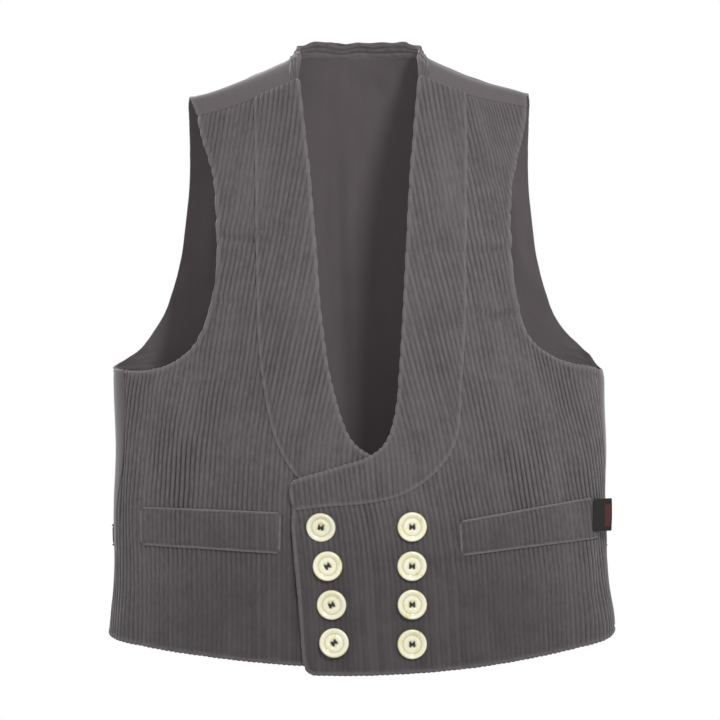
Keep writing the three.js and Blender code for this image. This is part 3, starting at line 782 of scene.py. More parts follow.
def make_plain(dark, light):
    material, tree, shader = new_material("plain_twill", 0.85, Sheen_Weight=0.5, Sheen_Roughness=0.35,
                                          Specular_IOR_Level=0.2)
    uv, wear_and_highlight = cloth_inputs(tree)
    woven = add_group(tree, twill, {"Vector": uv})
    wear_and_highlight_node = add_group(tree, edge_wear_and_highlight, {"Wear and highlight": wear_and_highlight, "Vector": uv, "Amount": 0.35})
    factor = times_plus(tree, woven.outputs["Weave"], 0.4, times(tree, woven.outputs["Slub"], 0.6))
    base = mixed(tree, factor, dark, light)
    # Edges are lightened, as wear and as a painted highlight.
    lighter = tuple(1.35 * c for c in light[:3]) + (1,)
    surface(tree, shader, mixed(tree, wear_and_highlight_node.outputs[0], base, lighter), factor, 0.35, 0.0002)
    return material


CORDUROY = make_corduroy()
PLAIN = make_plain((0.124, 0.108, 0.113, 1), (0.158, 0.140, 0.146, 1))
print("cloth materials made")

# %% [markdown]
# ## The fronts
# The left front laps over the right one, so below the chest it stands a few millimetres further out.
# The creases are listed: short puckers at the armholes, where the cloth is pulled, and long soft
# ones where it hangs. The neck edge stops a little short of the collar's fold, which covers it.

# %% Making the fronts
LAP_LIFT, LAP_GIRTHS, LAP_HEIGHTS = 4.6, (84.0, 210.0), (-250.0, -368.0)  # where the lap grows
FRONT_TOP, FRONT_BOTTOM = 0.4, -1.0
EDGE_ROLL, EDGE_INSET = 1.1, 0.6  # the rounding goes a little past the outline
NECK_RECESS = 3.0
FRONT_STRETCHES = ((20, -150, 6.5), (-150, -262, 3.0), (-262, -306, 2.2), (-306, -460, 7.0),
                   (-460, -505, 4.0), (-505, -546, 7.0), (-546, -600, 2.2))
CREASES = {  # girth, height, angle, length, width, depth (a ridge is negative), bend
    "front_right": (
        (117, -177, 8, 46, 3.2, 1.5, 0.05), (117, -168, 8, 52, 6.0, -0.8, 0.05),
        (124, -196, -12, 44, 6.0, 0.7, 0.1), (126, -237, 4, 30, 3.2, 1.0, 0.1),
        (130, -229, 4, 40, 6.0, -0.5, 0.1), (118, -128, 40, 60, 8.0, 0.7, 0.1),
        (128, -205, -20, 40, 7.0, 0.6, 0.0), (165, -409, 20, 14, 3.5, 0.9, 0.0),
        (205, -372, 75, 70, 7.0, 0.8, 0.1), (190, -330, 62, 110, 10, -1.2, 0.1),
        (150, -350, 70, 120, 12, 1.2, 0.1), (240, -420, 86, 150, 4.5, 0.9, 0.02),
        (228, -470, 84, 120, 5.0, 0.7, 0.0), (120, -520, 85, 90, 14, 0.9, 0.1),
        (175, -530, 95, 80, 12, -0.8, 0.1), (60, -505, 88, 110, 10, 0.7, 0.05),
        (215, -545, 100, 60, 9.0, 0.8, 0.1), (110, -300, 80, 120, 10, 0.6, 0.1)),
    "front_left": (
        (127, -187, 4, 24, 2.8, 1.3, 0.0), (128, -180, 4, 60, 5.0, -0.6, 0.05),
        (137, -250, 6, 34, 3.2, 1.4, 0.05), (134, -241, 5, 60, 5.0, -0.7, 0.05),
        (128, -168, 10, 50, 7.0, 0.5, 0.0), (120, -110, -35, 60, 8.0, 1.5, 0.1),
        (132, -98, -38, 50, 7.0, -1.0, 0.1), (165, -330, -68, 120, 12, 1.5, -0.1),
        (200, -360, -60, 100, 9.0, -1.3, -0.1), (140, -380, -72, 90, 11, -1.1, 0.0),
        (84, -473, 2, 48, 4.5, -1.0, 0.0), (80, -482, 2, 44, 5.0, 0.8, 0.0),
        (80, -498, -20, 30, 6.5, 1.1, 0.1), (68, -478, 70, 52, 7.0, 0.9, 0.05),
        (115, -530, 92, 80, 12, 0.8, 0.1), (175, -525, 84, 90, 13, -0.8, 0.1),
        (240, -500, 82, 110, 7.0, 0.8, 0.0), (12, -500, 88, 120, 14, 0.7, 0.05),
        (-45, -520, 90, 90, 7.0, -0.5, 0.0), (255, -350, 84, 90, 5.0, 0.7, 0.0)),
    "collar_right": (
        (70, -170, 3, 70, 7.0, 0.9, 0.0), (60, -286, -12, 60, 10, 0.5, 0.1),
        (78, -90, 20, 50, 10, 0.5, 0.1), (40, -360, -35, 60, 8.0, -0.5, 0.1),
        (70, -160, 3, 76, 8.0, -0.5, 0.0)),
    "collar_left": (
        (72, -188, -2, 70, 5.0, 0.9, 0.0), (72, -179, -2, 74, 6.0, -0.7, 0.0),
        (44, -359, 20, 28, 4.0, -1.0, 0.1), (58, -372, 35, 60, 8.0, 0.6, 0.1),
        (75, -110, -20, 50, 10, 0.5, 0.1), (70, -270, 12, 60, 10, 0.7, 0.1),
        (52, -330, -30, 70, 9.0, -0.7, 0.1)),
}


def stand_off(side, girth, z):
    """How far the fronts stand off the form: the lap, and the slow unevenness of hanging cloth."""
    inland = ease((250 - girth) / 40) * ease((-75 - z) / 50)
    slow = 0.50 * unevenness(girth + 40 * SIGN[side], z, 62) + 0.34 * unevenness(z, girth, 31)
    slow = (slow + 0.13 * unevenness(girth, z, 16)) * inland
    if side == "right":
        return slow
    across = ease((LAP_GIRTHS[1] - girth) / (LAP_GIRTHS[1] - LAP_GIRTHS[0]))
    return slow + LAP_LIFT * across * ease((LAP_HEIGHTS[0] - z) / (LAP_HEIGHTS[0] - LAP_HEIGHTS[1]))


def on_front(side, ribs):
    """The form's places for a piece of the front, by rib and height."""
    return lambda a, b: form_point("front", SIGN[side] * ribs.girth(a, b), b)


def front_lift(side, ribs, creases):
    return lambda a, b, point: (stand_off(side, ribs.girth(a, b), b)
                                + crease_lift(creases, ribs.girth(a, b), b))


def make_front(side):
    name = f"front_{side}"
    ribs = RIBS[name]
    collar_foot = FRONT_ROWS[side][COLLAR_END, 2:4]
    neck = moved_in(np.vstack([neck_run(side), collar_foot]), NECK_RECESS, closed=False)
    edge, hem = edge_run(side), hem_run(side)
    armhole, seam = outer_runs(side)
    shoulder = seam_run(side, SEAM_MARKS[side][1][0], SEAM_MARKS[side][0][0] + NECK_RECESS)
    outline = joined([shoulder, neck, edge, hem[::-1], seam[::-1], armhole[::-1]], 3.0)
    wrap_cloth(name, cut_ribbed(ribs, outline, EDGE_INSET, *FRONT_STRETCHES), CORDUROY,
               on_front(side, ribs), FRONT_TOP, FRONT_BOTTOM, EDGE_ROLL,
               lift=front_lift(side, ribs, CREASES[name]), rib_height=RIB_HEIGHT,
               edges=ribs.edges((armhole, "rolled"), (edge, "flat"), (hem, "flat"),
                                (shoulder, "sewn"), (seam, "sewn")))
    line_inside(name, PLAIN)


for side in SIGN:
    make_front(side)

# %% [markdown]
# ## The collar
# A shawl collar is one strip on each side that turns over at the neck edge and lies on the front. The
# turned edge is a soft round fold as thick as all the layers in it, made by letting the strip's under
# side dip round the front's edge. The outer edge is sewn and turned, with a small ridge.

# %% Making the collar
COLLAR_TOP, COLLAR_BOTTOM, COLLAR_ROLL = 2.5, 1.5, 1.4
FOLD_WIDTH, FOLD_DIP = 2.6, 1.1
THIN_WIDTH = 9  # over which the collar thins towards its outer edge


def make_collar(side):
    name = f"collar_{side}"
    ribs = RIBS[name]
    neck, line = neck_run(side), collar_line(side)
    end = np.array([neck[-1], (neck[-1] + line[-1]) / 2, line[-1]])
    shoulder = seam_run(side, line[0][0], neck[0][0])
    outline = joined([shoulder, neck, end, line[::-1]], 2.0)
    bm = cut_ribbed(ribs, outline, COLLAR_ROLL, (20, -300, 4.0), (-300, -440, 1.8))
    shell = np.array([v.co[:2] for v in bm.verts])
    from_fold = distance_to(shell, [ribs.flat(neck), ribs.flat(end)])
    fold = 1 - ease((from_fold - COLLAR_ROLL) / FOLD_WIDTH)
    thin = ease(1 - distance_to(shell, [ribs.flat(line)]) / THIN_WIDTH)
    wrap_cloth(name, bm, CORDUROY, on_front(side, ribs), COLLAR_TOP - 0.5 * thin,
               COLLAR_BOTTOM - fold * (COLLAR_BOTTOM + FOLD_DIP), COLLAR_ROLL,
               lift=front_lift(side, ribs, CREASES[name]), rib_height=0.9 * RIB_HEIGHT, ribs_inside=0.6,
               edges=ribs.edges((line, "flat"), (end, "flat"), (neck, "fold"), (shoulder, "sewn")),
               serration=0.3 + 0.6 * fold, nap=0.87)


for side in SIGN:
    make_collar(side)

# %% [markdown]
# ## Welts
# A welt is a folded strip sewn over the pocket's mouth. All its edges are turned, so they stand up as
# soft rolls round a slightly sunken middle.

# %% Making the welts
WELT_CORNERS = {  # outer top, inner top, inner bottom, outer bottom
    "right": ((214, -431), (73, -434), (74, -473), (214, -467)),
    "left": ((230, -422), (93, -442), (95, -475), (240, -461)),
}
WELT_TOP, WELT_BOTTOM, WELT_ROLL, WELT_BOW = 3.1, 1.8, 1.2, 0.6


def make_welt(side):
    name = f"welt_{side}"
    ribs = RIBS[name]
    corners = [np.array(c, float) for c in WELT_CORNERS[side]]
    runs = [smooth_line([p, p + (q - p) * 0.5 + (0, WELT_BOW), q])
            for p, q in zip(corners, corners[1:] + corners[:1])]
    wrap_cloth(name, cut_ribbed(ribs, joined(runs, 3.0), WELT_ROLL, (-415, -480, 1.5)), CORDUROY,
               on_front(side, ribs), WELT_TOP, WELT_BOTTOM, WELT_ROLL, lift=front_lift(side, ribs, ()),
               rib_height=0.75 * RIB_HEIGHT, edges=ribs.edges(*((run, "piped") for run in runs)),
               serration=0.25, nap=0.75)


for side in SIGN:
    make_welt(side)

# %% [markdown]
# ## The back
# The two halves of the back are plain cloth. They come forward over the shoulders, so no single height
# describes them: each row of places runs from the middle to the armhole or side, first by its turn over
# the shoulder, then by its height. A grid is stretched over those rows with smooth curves both ways.

# %% Rows of the back
BACK_SHOULDER = (  # inner girth, its turn, outer girth, its turn
    (66, -13, 165, -11), (65, 0, 168, 0), (60, 5, 169, 7), (47, 13.5, 170, 14), (30, 21, 170, 21),
    (12, 25.6, 170, 27), (0, 26.5, 170, 32))
BACK_LOWER = (  # height at the middle, outer girth, its height
    (-16, 170, -84), (-48, 171, -118), (-85, 175, -152), (-122, 179, -182), (-155, 184, -205),
    (-185, 190, -225), (-210, 197, -244), (-230, 208, -262), (-248, 221, -279), (-262, 238, -289),
    (-276, 258, -295.5), (-288, 278, -299))
BACK_SEAM_TURNS = {"right": (66, 26.3, 158, 23.9), "left": (66, 24.6, 165, 19.2)}
BACK_MIDDLE_ARMHOLE, BACK_MIDDLE_HEM = -301.0, -564.0
BACK_COLUMNS = 15
SEAM_COLUMNS = (0.002, 0.004, 0.007, 0.011)  # extra cuts beside the centre seam, as shares of the width


def back_net(side):
    """Rows of points from the middle of the back outwards, and the row at the armhole's foot."""
    part = 1 - (1 - np.linspace(0, 1, BACK_COLUMNS)) ** 1.4
    sign = SIGN[side]
    inner, inner_turn, outer, outer_turn = BACK_SEAM_TURNS[side]
    net = []
    for g0, t0, g1, t1 in ((inner, -inner_turn, outer, -outer_turn), *BACK_SHOULDER):
        girth = np.maximum(g0 + (g1 - g0) * part, 1e-3)
        net.append(shoulder_point(sign * girth, t0 + (t1 - t0) * part))
    for middle, g1, z1 in BACK_LOWER:
        net.append(form_point("back", sign * np.maximum(g1 * part, 1e-3), middle + (z1 - middle) * part))
    foot = len(net)
    rows = FRONT_ROWS[side][ARMHOLE_END:, 4:6]
    for girth, z in rows:
        middle = BACK_MIDDLE_ARMHOLE + (BACK_MIDDLE_HEM - BACK_MIDDLE_ARMHOLE) * (z - rows[0, 1]) / (
            rows[-1, 1] - rows[0, 1])
        level = np.array([z])
        outer = quarter("back", level)[ARC_GIRTH][0] + quarter("front", level)[ARC_GIRTH][0] - girth
        net.append(form_point("back", sign * np.maximum(outer * part, 1e-3), middle + (z - middle) * part))
    return np.array(net), foot


def net_surface(net, foot):
    """at(a, b) on a net, a from the middle outwards and b from the shoulder seam down, both 0 to 1."""
    corner = len(BACK_SHOULDER)

    def at(a, b):
        row = np.clip(b, 0, 1) * (len(net) - 1)
        column = np.clip(a, 0, 1) * (net.shape[1] - 1)
        out = np.empty((len(a), 3))
        for first, last in ((0, corner), (corner, foot), (foot, len(net) - 1)):
            part, chosen = net[first:last + 1], (row >= first) & (row < last + (last == len(net) - 1))
            if chosen.any():
                lines = hermite(np.arange(len(part)), part.reshape(len(part), -1), row[chosen] - first)
                lines = lines.reshape(-1, *net.shape[1:])
                c = column[chosen]
                i = np.clip(c.astype(int), 0, net.shape[1] - 2)
                k = np.arange(len(c))
                t = (c - i)[:, None]
                p0, p1, p2, p3 = (lines[k, np.clip(i + d, 0, net.shape[1] - 1)] for d in (-1, 0, 1, 2))
                out[chosen] = (2 * p1 + (p2 - p0) * t + (2 * p0 - 5 * p1 + 4 * p2 - p3) * t**2
                               + (3 * p1 - p0 - 3 * p2 + p3) * t**3) / 2
        return out

    return at


print("back: rows of places", len(back_net("left")[0]), "columns", BACK_COLUMNS)

# %% [markdown]
# ## Making the back
# The back hangs in long soft folds from the shoulder blades, and the straps draw it in above the hem.
# The two halves meet in a centre seam, which sinks a little. Armholes and hem are turned, which leaves a
# small ridge. The two halves don't crease quite alike, as on any worn garment.

# %% Both halves of the back
BACK_CREASES = (  # sideways place, height, angle, length, width, depth, bend
    (95, -468, 3, 150, 9, 1.7, 0.05), (110, -484, -8, 130, 8, -1.4, 0.1),
    (120, -442, 10, 150, 9, -1.3, 0.1), (150, -425, 16, 120, 7, 1.1, 0.1),
    (60, -395, 72, 150, 13, 1.6, 0.1), (95, -385, 82, 130, 11, -1.3, 0.05),
    (150, -385, 104, 130, 12, 1.5, -0.1), (40, -525, 82, 100, 10, 1.5, 0.1),
    (80, -530, 92, 90, 11, -1.2, 0.1), (125, -525, 97, 90, 11, 1.3, 0.1),
    (185, -500, 100, 110, 9, 1.2, 0.0), (85, -200, 76, 180, 15, 1.7, 0.1),
    (120, -170, 84, 150, 12, -1.2, 0.1), (155, -150, 100, 110, 10, 1.0, 0.1),
    (130, -100, 30, 70, 9, 0.8, 0.1), (205, -380, 92, 110, 8, 1.2, 0.1),
    (30, -300, 88, 200, 16, -0.9, 0.05))
BACK_HALVES = {  # share of the sideways place, rise in mm, and a crease of its own
    "right": (0.93, 6.3, (20, -200, 88, 270, 8, -2.2, 0.02)),
    "left": (1.0, 0.0, (214, -284, 62, 46, 12, -1.9, 0.0)),
}
BACK_WIDTH, BACK_LENGTH = 270.0, 640.0  # of a half, on average, for its cloth map
BACK_TOP, BACK_ROLL, SEAM_ROLL = 0.8, 0.7, 0.12


def make_back(side):
    net, foot = back_net(side)
    at = net_surface(net, foot)
    share, rise, own = BACK_HALVES[side]
    creases = [(g * share, z + rise, *rest) for g, z, *rest in BACK_CREASES] + [own]
    corner = len(BACK_SHOULDER) / (len(net) - 1)
    armhole = at(np.ones(60), np.linspace(0, foot / (len(net) - 1), 60))
    hem = at(np.linspace(0, 1, 40), np.ones(40))
    seam = at(np.zeros(60), np.linspace(corner, 1, 60))
    bm = thicken(grid_flat(64, 190, SEAM_COLUMNS))
    shell = np.array([v.co for v in bm.verts])
    roll = np.where((shell[:, 0] < 0.001) & (shell[:, 1] > corner), SEAM_ROLL, BACK_ROLL)

    def flat(a, b):
        return np.stack([a * BACK_WIDTH, b * BACK_LENGTH], -1)

    def lift(a, b, point):
        """Lumps fade at the armhole and the hem, folds at the centre seam, both over the shoulder."""
        x, y, z = point.T
        slow = 0.9 * unevenness(x + 60, z, 83) + 0.4 * unevenness(z, x, 37)
        inland = ease((0.97 - a) / 0.12) * ease((z + 560) / 25)
        folds = 1.6 * crease_lift(creases, np.abs(x), z) * ease(np.abs(x) / 16)
        return (folds + slow * inland) * ease(y / 15)

    wrap_cloth(f"back_{side}", bm, PLAIN, at, BACK_TOP, -BACK_TOP, roll, flat=flat, step=0.002, lift=lift,
               edges=[(armhole, "plain"), (seam, "seam"), (hem, "plain")], edges_on_form=True)
    PIECES[f"back_{side}"].data.set_sharp_from_angle(angle=math.radians(70))


for side in SIGN:
    make_back(side)

# %% [markdown]
# ## The collar's band round the neck
# Behind the neck the collar is a narrow band of corduroy whose ribs run round it. It stands on the neck
# edge, leans in a little and is not quite even at its top, with two soft bumps where it was turned.

# %% The neck band
NECK_BAND_ROWS = (  # girth, turn, inward lean, rise
    (63, -30, 4, -1), (66, -22, 8, 2), (66, -12, 9, 6), (65, 0, 7, 11), (58, 6, 4, 13), (47, 13.5, 3, 13),
    (30, 21, 2, 12), (15, 25, 2, 12))
NECK_BAND_MIDDLE = (0.01, 26.5, 2, 12)
BAND_HEIGHT, BAND_TOP, BAND_ROLL = 13.0, 0.9, 1.2
BAND_LINED = 4.6  # mm up its inner side that are plain cloth
BAND_BUMPS = ((-28, 13, 0.13), (25, 12, 0.13))  # sideways place, width, and share of the height


def neck_band_lines():
    """The band's foot and its rise, from the right front round the back to the left front."""
    rows = [(-g, *rest) for g, *rest in NECK_BAND_ROWS] + [NECK_BAND_MIDDLE] + list(NECK_BAND_ROWS[::-1])
    rows = np.array(rows, float)
    return shoulder_point(rows[:, 0], rows[:, 1]), rows[:, 2:4]


def make_neck_band():
    feet, leans = neck_band_lines()
    places = np.concatenate([[0], np.cumsum(np.linalg.norm(np.diff(feet, axis=0), axis=1))])
    long = places[-1]

    def at(a, b):
        s = b * long
        foot, lean = hermite(places, feet, s), hermite(places, leans, s)
        ahead = hermite(places, feet, s + 1.5) - hermite(places, feet, s - 1.5)
        ahead[:, 2] = 0
        ahead /= np.linalg.norm(ahead, axis=1)[:, None]
        inward = np.stack([ahead[:, 1], -ahead[:, 0], 0 * s], -1)
        rise = inward * lean[:, :1] + np.array([0, 0, 1.0]) * lean[:, 1:]
        x = foot[:, 0]
        bump = 1 + sum(share * np.exp(-((x - place) / width) ** 2) for place, width, share in BAND_BUMPS)
        bump *= 1 - 0.28 * np.exp(-((np.abs(x) - 58) / 9) ** 2)
        bump *= 1 + 0.05 * np.sin(s / 5.3) * np.sin(s / 17)
        sway = 0.8 * np.sin(s / 8.5) * (a * (1 - a) * 4)
        return foot + rise * (a * bump)[:, None] + inward * sway[:, None]

    def flat(a, b):
        """The ribs run along the band and wander a little."""
        s = b * long
        wander = 1.5 * np.sin(s / 7) * np.sin(s / 29) + 0.9 * np.sin(s / 16)
        return np.stack([a * BAND_HEIGHT + wander * (0.4 + 0.6 * a), s], -1)

    def crumple(a, b, point):
        return 0.7 * unevenness(20 * a, b * long, 17)

    wrap_cloth("collar_neck", thicken(grid_flat(24, 200), rings=5), CORDUROY, at, BAND_TOP, -BAND_TOP,
               BAND_ROLL, flat=flat, step=0.002, lift=crumple, rib_height=0.9, ribs_inside=1.0)
    line_inside("collar_neck", PLAIN, upto=BAND_LINED)
    return long


BAND_LENGTH = make_neck_band()

# %% [markdown]
# ## Straps, buckle and tab
# Two straps cross the small of the back and meet in a slide buckle. The left one comes up to the
# buckle's end bar, which it would be sewn round, and the right one passes over the middle bar and ends
# in a tail. The tab is a folded tape caught in the end of the left welt. Its outer end is woven in dark
# red, and it carries no lettering.

# %% The straps
STRAP_Z, STRAP_WIDTH, STRAP_END_WIDTH = -461.0, 24.0, 20.0
STRAP_ROWS = {  # girth, lift
    "left": ((266, 0), (140, 0), (110, 0), (85, 2.4), (60, 2.4), (26.5, 2.4)),
    "right": ((266, 0), (20, 0), (6, 0), (-4.5, 4.4), (-11.5, 4.4), (-22, 0), (-40, 0), (-70, 0)),
}
STRAP_TAPER = (200, 66)  # girth where it starts to narrow towards the side seam, and over how much
STRAP_TOP, STRAP_BOTTOM, STRAP_ROLL = 2.6, 1.3, 0.6


def strap_length(side):
    return STRAP_ROWS[side][0][0] - STRAP_ROWS[side][-1][0]


def make_strap(side):
    rows = np.array(STRAP_ROWS[side], float)[::-1]
    long = strap_length(side)

    def at(a, b):
        girth = rows[0, 0] + long * b
        narrowing = ease((girth - STRAP_TAPER[0]) / STRAP_TAPER[1])
        width = STRAP_WIDTH + (STRAP_END_WIDTH - STRAP_WIDTH) * narrowing
        return form_point("back", SIGN[side] * girth, STRAP_Z + (a - 0.5) * width)

    def lift(a, b, point):
        girth = rows[0, 0] + long * b
        return hermite(rows[:, 0], rows[:, 1], girth) + 0.25 * np.sin(girth / 17) * np.sin(a * 3)

    def flat(a, b):
        return np.stack([a * STRAP_WIDTH, b * long], -1)

    ends = np.array([0.0, 1.0])
    wrap_cloth(f"strap_{side}", thicken(grid_flat(24, round(long / 2.5))), PLAIN, at, STRAP_TOP,
               STRAP_BOTTOM, STRAP_ROLL, flat=flat, step=0.003, lift=lift,
               edges=[(flat(np.full(2, border), ends), "piped") for border in (0.0, 1.0)])


for side in SIGN:
    make_strap(side)

# %% The tab
TAB_X, TAB_Y, TAB_TOP, TAB_LENGTH, TAB_HEIGHT, TAB_TURN = 224.0, -41.0, -424.0, 19.0, 30.0, 24.0
TAB_THREADS = 2600.0  # per metre
RED_END = ((14.8, 3.0), (14.0, 10.5))  # its middle and half its size, along the tab and up it


def within(tree, value, middle, half):
    """1 where a value in metres lies near enough to a middle, given in mm."""
    off = maths(tree, "ABSOLUTE", maths(tree, "SUBTRACT", value, middle * MM))
    return maths(tree, "LESS_THAN", off, half * MM)


def make_tab_finish():
    material, tree, shader = new_material("woven_tape", 0.6, Sheen_Weight=0.1, Specular_IOR_Level=0.3)
    uv = put(tree, "ShaderNodeUVMap", uv_map="cloth").outputs[0]
    weave = add_group(tree, twill, {"Vector": uv, "Threads per metre": TAB_THREADS}).outputs["Weave"]
    place = put(tree, "ShaderNodeSeparateXYZ", {0: uv}).outputs
    stripe = times(tree, *(within(tree, place[k], *RED_END[k]) for k in (0, 1)))
    black = mixed(tree, weave, (0.008, 0.008, 0.008, 1), (0.022, 0.021, 0.020, 1))
    red = mixed(tree, weave, (0.06, 0.012, 0.014, 1), (0.13, 0.025, 0.028, 1))
    surface(tree, shader, mixed(tree, stripe, black, red), weave, 0.4, 0.0002)
    return material


def make_tab():
    c, s = math.cos(math.radians(TAB_TURN)), math.sin(math.radians(TAB_TURN))

    def at(a, b):
        along = a * TAB_LENGTH
        curl = 0.9 * np.sin(b * 3.1) * a**2
        return np.stack([TAB_X + along * c + curl * s, TAB_Y + along * s - curl * c,
                         TAB_TOP - TAB_HEIGHT * (1 - b) + 0.5 * a * np.sin(b * 9)], -1)

    def flat(a, b):
        return np.stack([a * TAB_LENGTH, b * TAB_HEIGHT], -1)

    wrap_cloth("side_tab", thicken(grid_flat(24, 30)), make_tab_finish(), at, 0.6, -0.6, 0.5, flat=flat,
               step=0.003)


make_tab()

# %% The buckle
BUCKLE = {"girth": 8.0, "width": 36.0, "length": 36.0, "bar": 3.0, "thick": 2.0, "lift": 4.2,
          "rounding": 0.75}


def mesh_object(name, bm, material, smooth=True):
    mesh = bpy.data.meshes.new(name)
    bm.to_mesh(mesh)
    bm.free()
    mesh.polygons.foreach_set("use_smooth", np.full(len(mesh.polygons), smooth))
    mesh.materials.append(material)
    mesh.update()
    obj = bpy.data.objects.new(name, mesh)
    bpy.context.scene.collection.objects.link(obj)
    return obj


def to_metres(bm):
    bmesh.ops.transform(bm, matrix=Matrix.Scale(MM, 4), verts=bm.verts[:])


def facing(x, z):
    """A turn that brings the X and Z axes to two directions at right angles."""
    return Matrix((x, z.cross(x), z)).transposed().to_4x4()


def turned_about(degrees, axis):
    return Matrix.Rotation(math.radians(degrees), 4, axis)


def seat_on(face, girth, height, above, spin=0.0, tilt=(0.0, 0.0)):
    """A matrix that sets a piece made flat on its Z upright on the form, so much above it."""
    girth, height = np.array([float(girth)]), np.array([float(height)])
    point, _, _, normal = frames_on(lambda a, b: form_point(face, a, b), girth, height, 0.5)
    z = Vector(normal[0]).normalized()
    x = Vector((0, 0, 1)).cross(z).normalized()
    lean = turned_about(tilt[0], "X") @ turned_about(tilt[1], "Y")
    place = Matrix.Translation(Vector(point[0] + normal[0] * above) * MM)
    return place @ facing(x, z) @ lean @ turned_about(spin, "Z")


def make_metal():
    material, tree, shader = new_material("brushed_steel", 0.32, Metallic=1.0)
    grain = noise(tree, stretched(tree, object_place(tree), (1.0, 1.0, 14.0)), 260.0, 4.0)
    tree.links.new(times_plus(tree, grain, 0.25, 0.22), shader.inputs["Roughness"])
    colour = mixed(tree, grain, (0.42, 0.41, 0.39, 1), (0.62, 0.61, 0.58, 1))
    surface(tree, shader, colour, grain, 0.15, 0.0001)
    return material


def make_buckle():
    """A frame with a middle bar, from a grid of 5 x 3 cells whose two windows are taken out."""
    width, long, bar, thick = (BUCKLE[k] for k in ("width", "length", "bar", "thick"))
    bm = bmesh.new()
    xs = (-long / 2, -long / 2 + bar, -bar / 2, bar / 2, long / 2 - bar, long / 2)
    ys = (-width / 2, -width / 2 + bar, width / 2 - bar, width / 2)
    bmesh.ops.create_grid(bm, x_segments=5, y_segments=3, size=0.5)
    for v in bm.verts:
        v.co = (xs[round((v.co.x + 0.5) * 5)], ys[round((v.co.y + 0.5) * 3)], -thick / 2)
    middles = [(f, f.calc_center_median()) for f in bm.faces]
    windows = [f for f, at in middles if abs(at.y) < 1 and bar / 2 < abs(at.x) < long / 2 - bar]
    bmesh.ops.delete(bm, geom=windows, context="FACES")
    made = bmesh.ops.extrude_face_region(bm, geom=bm.verts[:] + bm.edges[:] + bm.faces[:],
                                         use_keep_orig=True)
    top = [v for v in made["geom"] if isinstance(v, bmesh.types.BMVert)]
    bmesh.ops.translate(bm, verts=top, vec=(0, 0, thick))
    bmesh.ops.recalc_face_normals(bm, faces=bm.faces[:])
    sharp = [e for e in bm.edges if len(e.link_faces) == 2 and e.calc_face_angle() > 1]
    bmesh.ops.bevel(bm, geom=sharp, offset=BUCKLE["rounding"], offset_type="OFFSET", segments=4,
                    profile=0.5, affect="EDGES", material=-1)
    to_metres(bm)
    place = seat_on("back", BUCKLE["girth"], STRAP_Z, BUCKLE["lift"])
    bmesh.ops.transform(bm, matrix=place, verts=bm.verts[:])
    return mesh_object("slide_buckle", bm, make_metal())


PIECES["strap_buckle"] = make_buckle()
print("buckle faces", len(PIECES["strap_buckle"].data.polygons))

# %% [markdown]
# ## Buttons
# The buttons are thick pearl discs with a round rim, a shallow groove inside it and four holes. The
# holes are cut while the middle is still a flat ring of edges: triangle_fill closes the face round them,
# and extruding outlines makes the rest. A boolean would do it too, but leaves a rougher mesh.

# %% The button's shape
HOLE_RADIUS, HOLE_SPACING, HOLE_DEPTH = 1.0, 3.9, 2.0
BUTTON_RINGS = (  # radius, height, from the middle face out over the rim and under
    (6.6, 2.75), (7.6, 2.55), (8.6, 2.35), (9.5, 2.6), (10.4, 3.3), (11.4, 3.95), (12.3, 4.15), (13.1, 3.9),
    (13.7, 3.2), (14.0, 2.3), (13.8, 1.4), (13.0, 0.6), (11.6, 0.1), (9.0, 0.0))
BUTTON_MIDDLE = (5.6, 2.8)
BUTTON_SIDES = 56


def ring_edges(bm, radius, height, sides, centre=(0, 0)):
    made = bmesh.ops.create_circle(bm, segments=sides, radius=radius,
                                   matrix=Matrix.Translation((centre[0], centre[1], height)))
    ring = set(made["verts"])
    return [e for e in bm.edges if e.verts[0] in ring and e.verts[1] in ring]


def button_mesh():
    bm = bmesh.new()
    radius, height = BUTTON_MIDDLE
    outer = ring_edges(bm, radius, height, BUTTON_SIDES)
    holes = []
    for x in (-HOLE_SPACING / 2, HOLE_SPACING / 2):
        for y in (-HOLE_SPACING / 2, HOLE_SPACING / 2):
            holes.append(ring_edges(bm, HOLE_RADIUS, height, 14, (x, y)))
    bmesh.ops.triangle_fill(bm, use_beauty=True, edges=outer + [e for hole in holes for e in hole])
    for hole in holes:
        made = bmesh.ops.extrude_edge_only(bm, edges=hole)
        bottom = [g for g in made["geom"] if isinstance(g, bmesh.types.BMVert)]
        bmesh.ops.translate(bm, verts=bottom, vec=(0, 0, -HOLE_DEPTH))
        bmesh.ops.contextual_create(bm, geom=[g for g in made["geom"] if isinstance(g, bmesh.types.BMEdge)])
    edges = outer
    for radius, height in BUTTON_RINGS:
        made = bmesh.ops.extrude_edge_only(bm, edges=edges)
        verts = [g for g in made["geom"] if isinstance(g, bmesh.types.BMVert)]
        edges = [g for g in made["geom"] if isinstance(g, bmesh.types.BMEdge)]
        for v in verts:
            flat = Vector((v.co.x, v.co.y)).normalized() * radius
            v.co = (flat.x, flat.y, height)
    bmesh.ops.contextual_create(bm, geom=edges)
    bmesh.ops.recalc_face_normals(bm, faces=bm.faces[:])
    return bm


print("button", 2 * max(radius for radius, _ in BUTTON_RINGS), "mm wide")

# %% [markdown]
# ## Pearl and thread
# Pearl is cream with cloudy bands of yellow that are cut through at a different place on every button,
# so the bands follow the place in the garment. The groove and the rim's edge are painted darker, as shade.
# Dark thread passes between the holes as two bars and a cross.

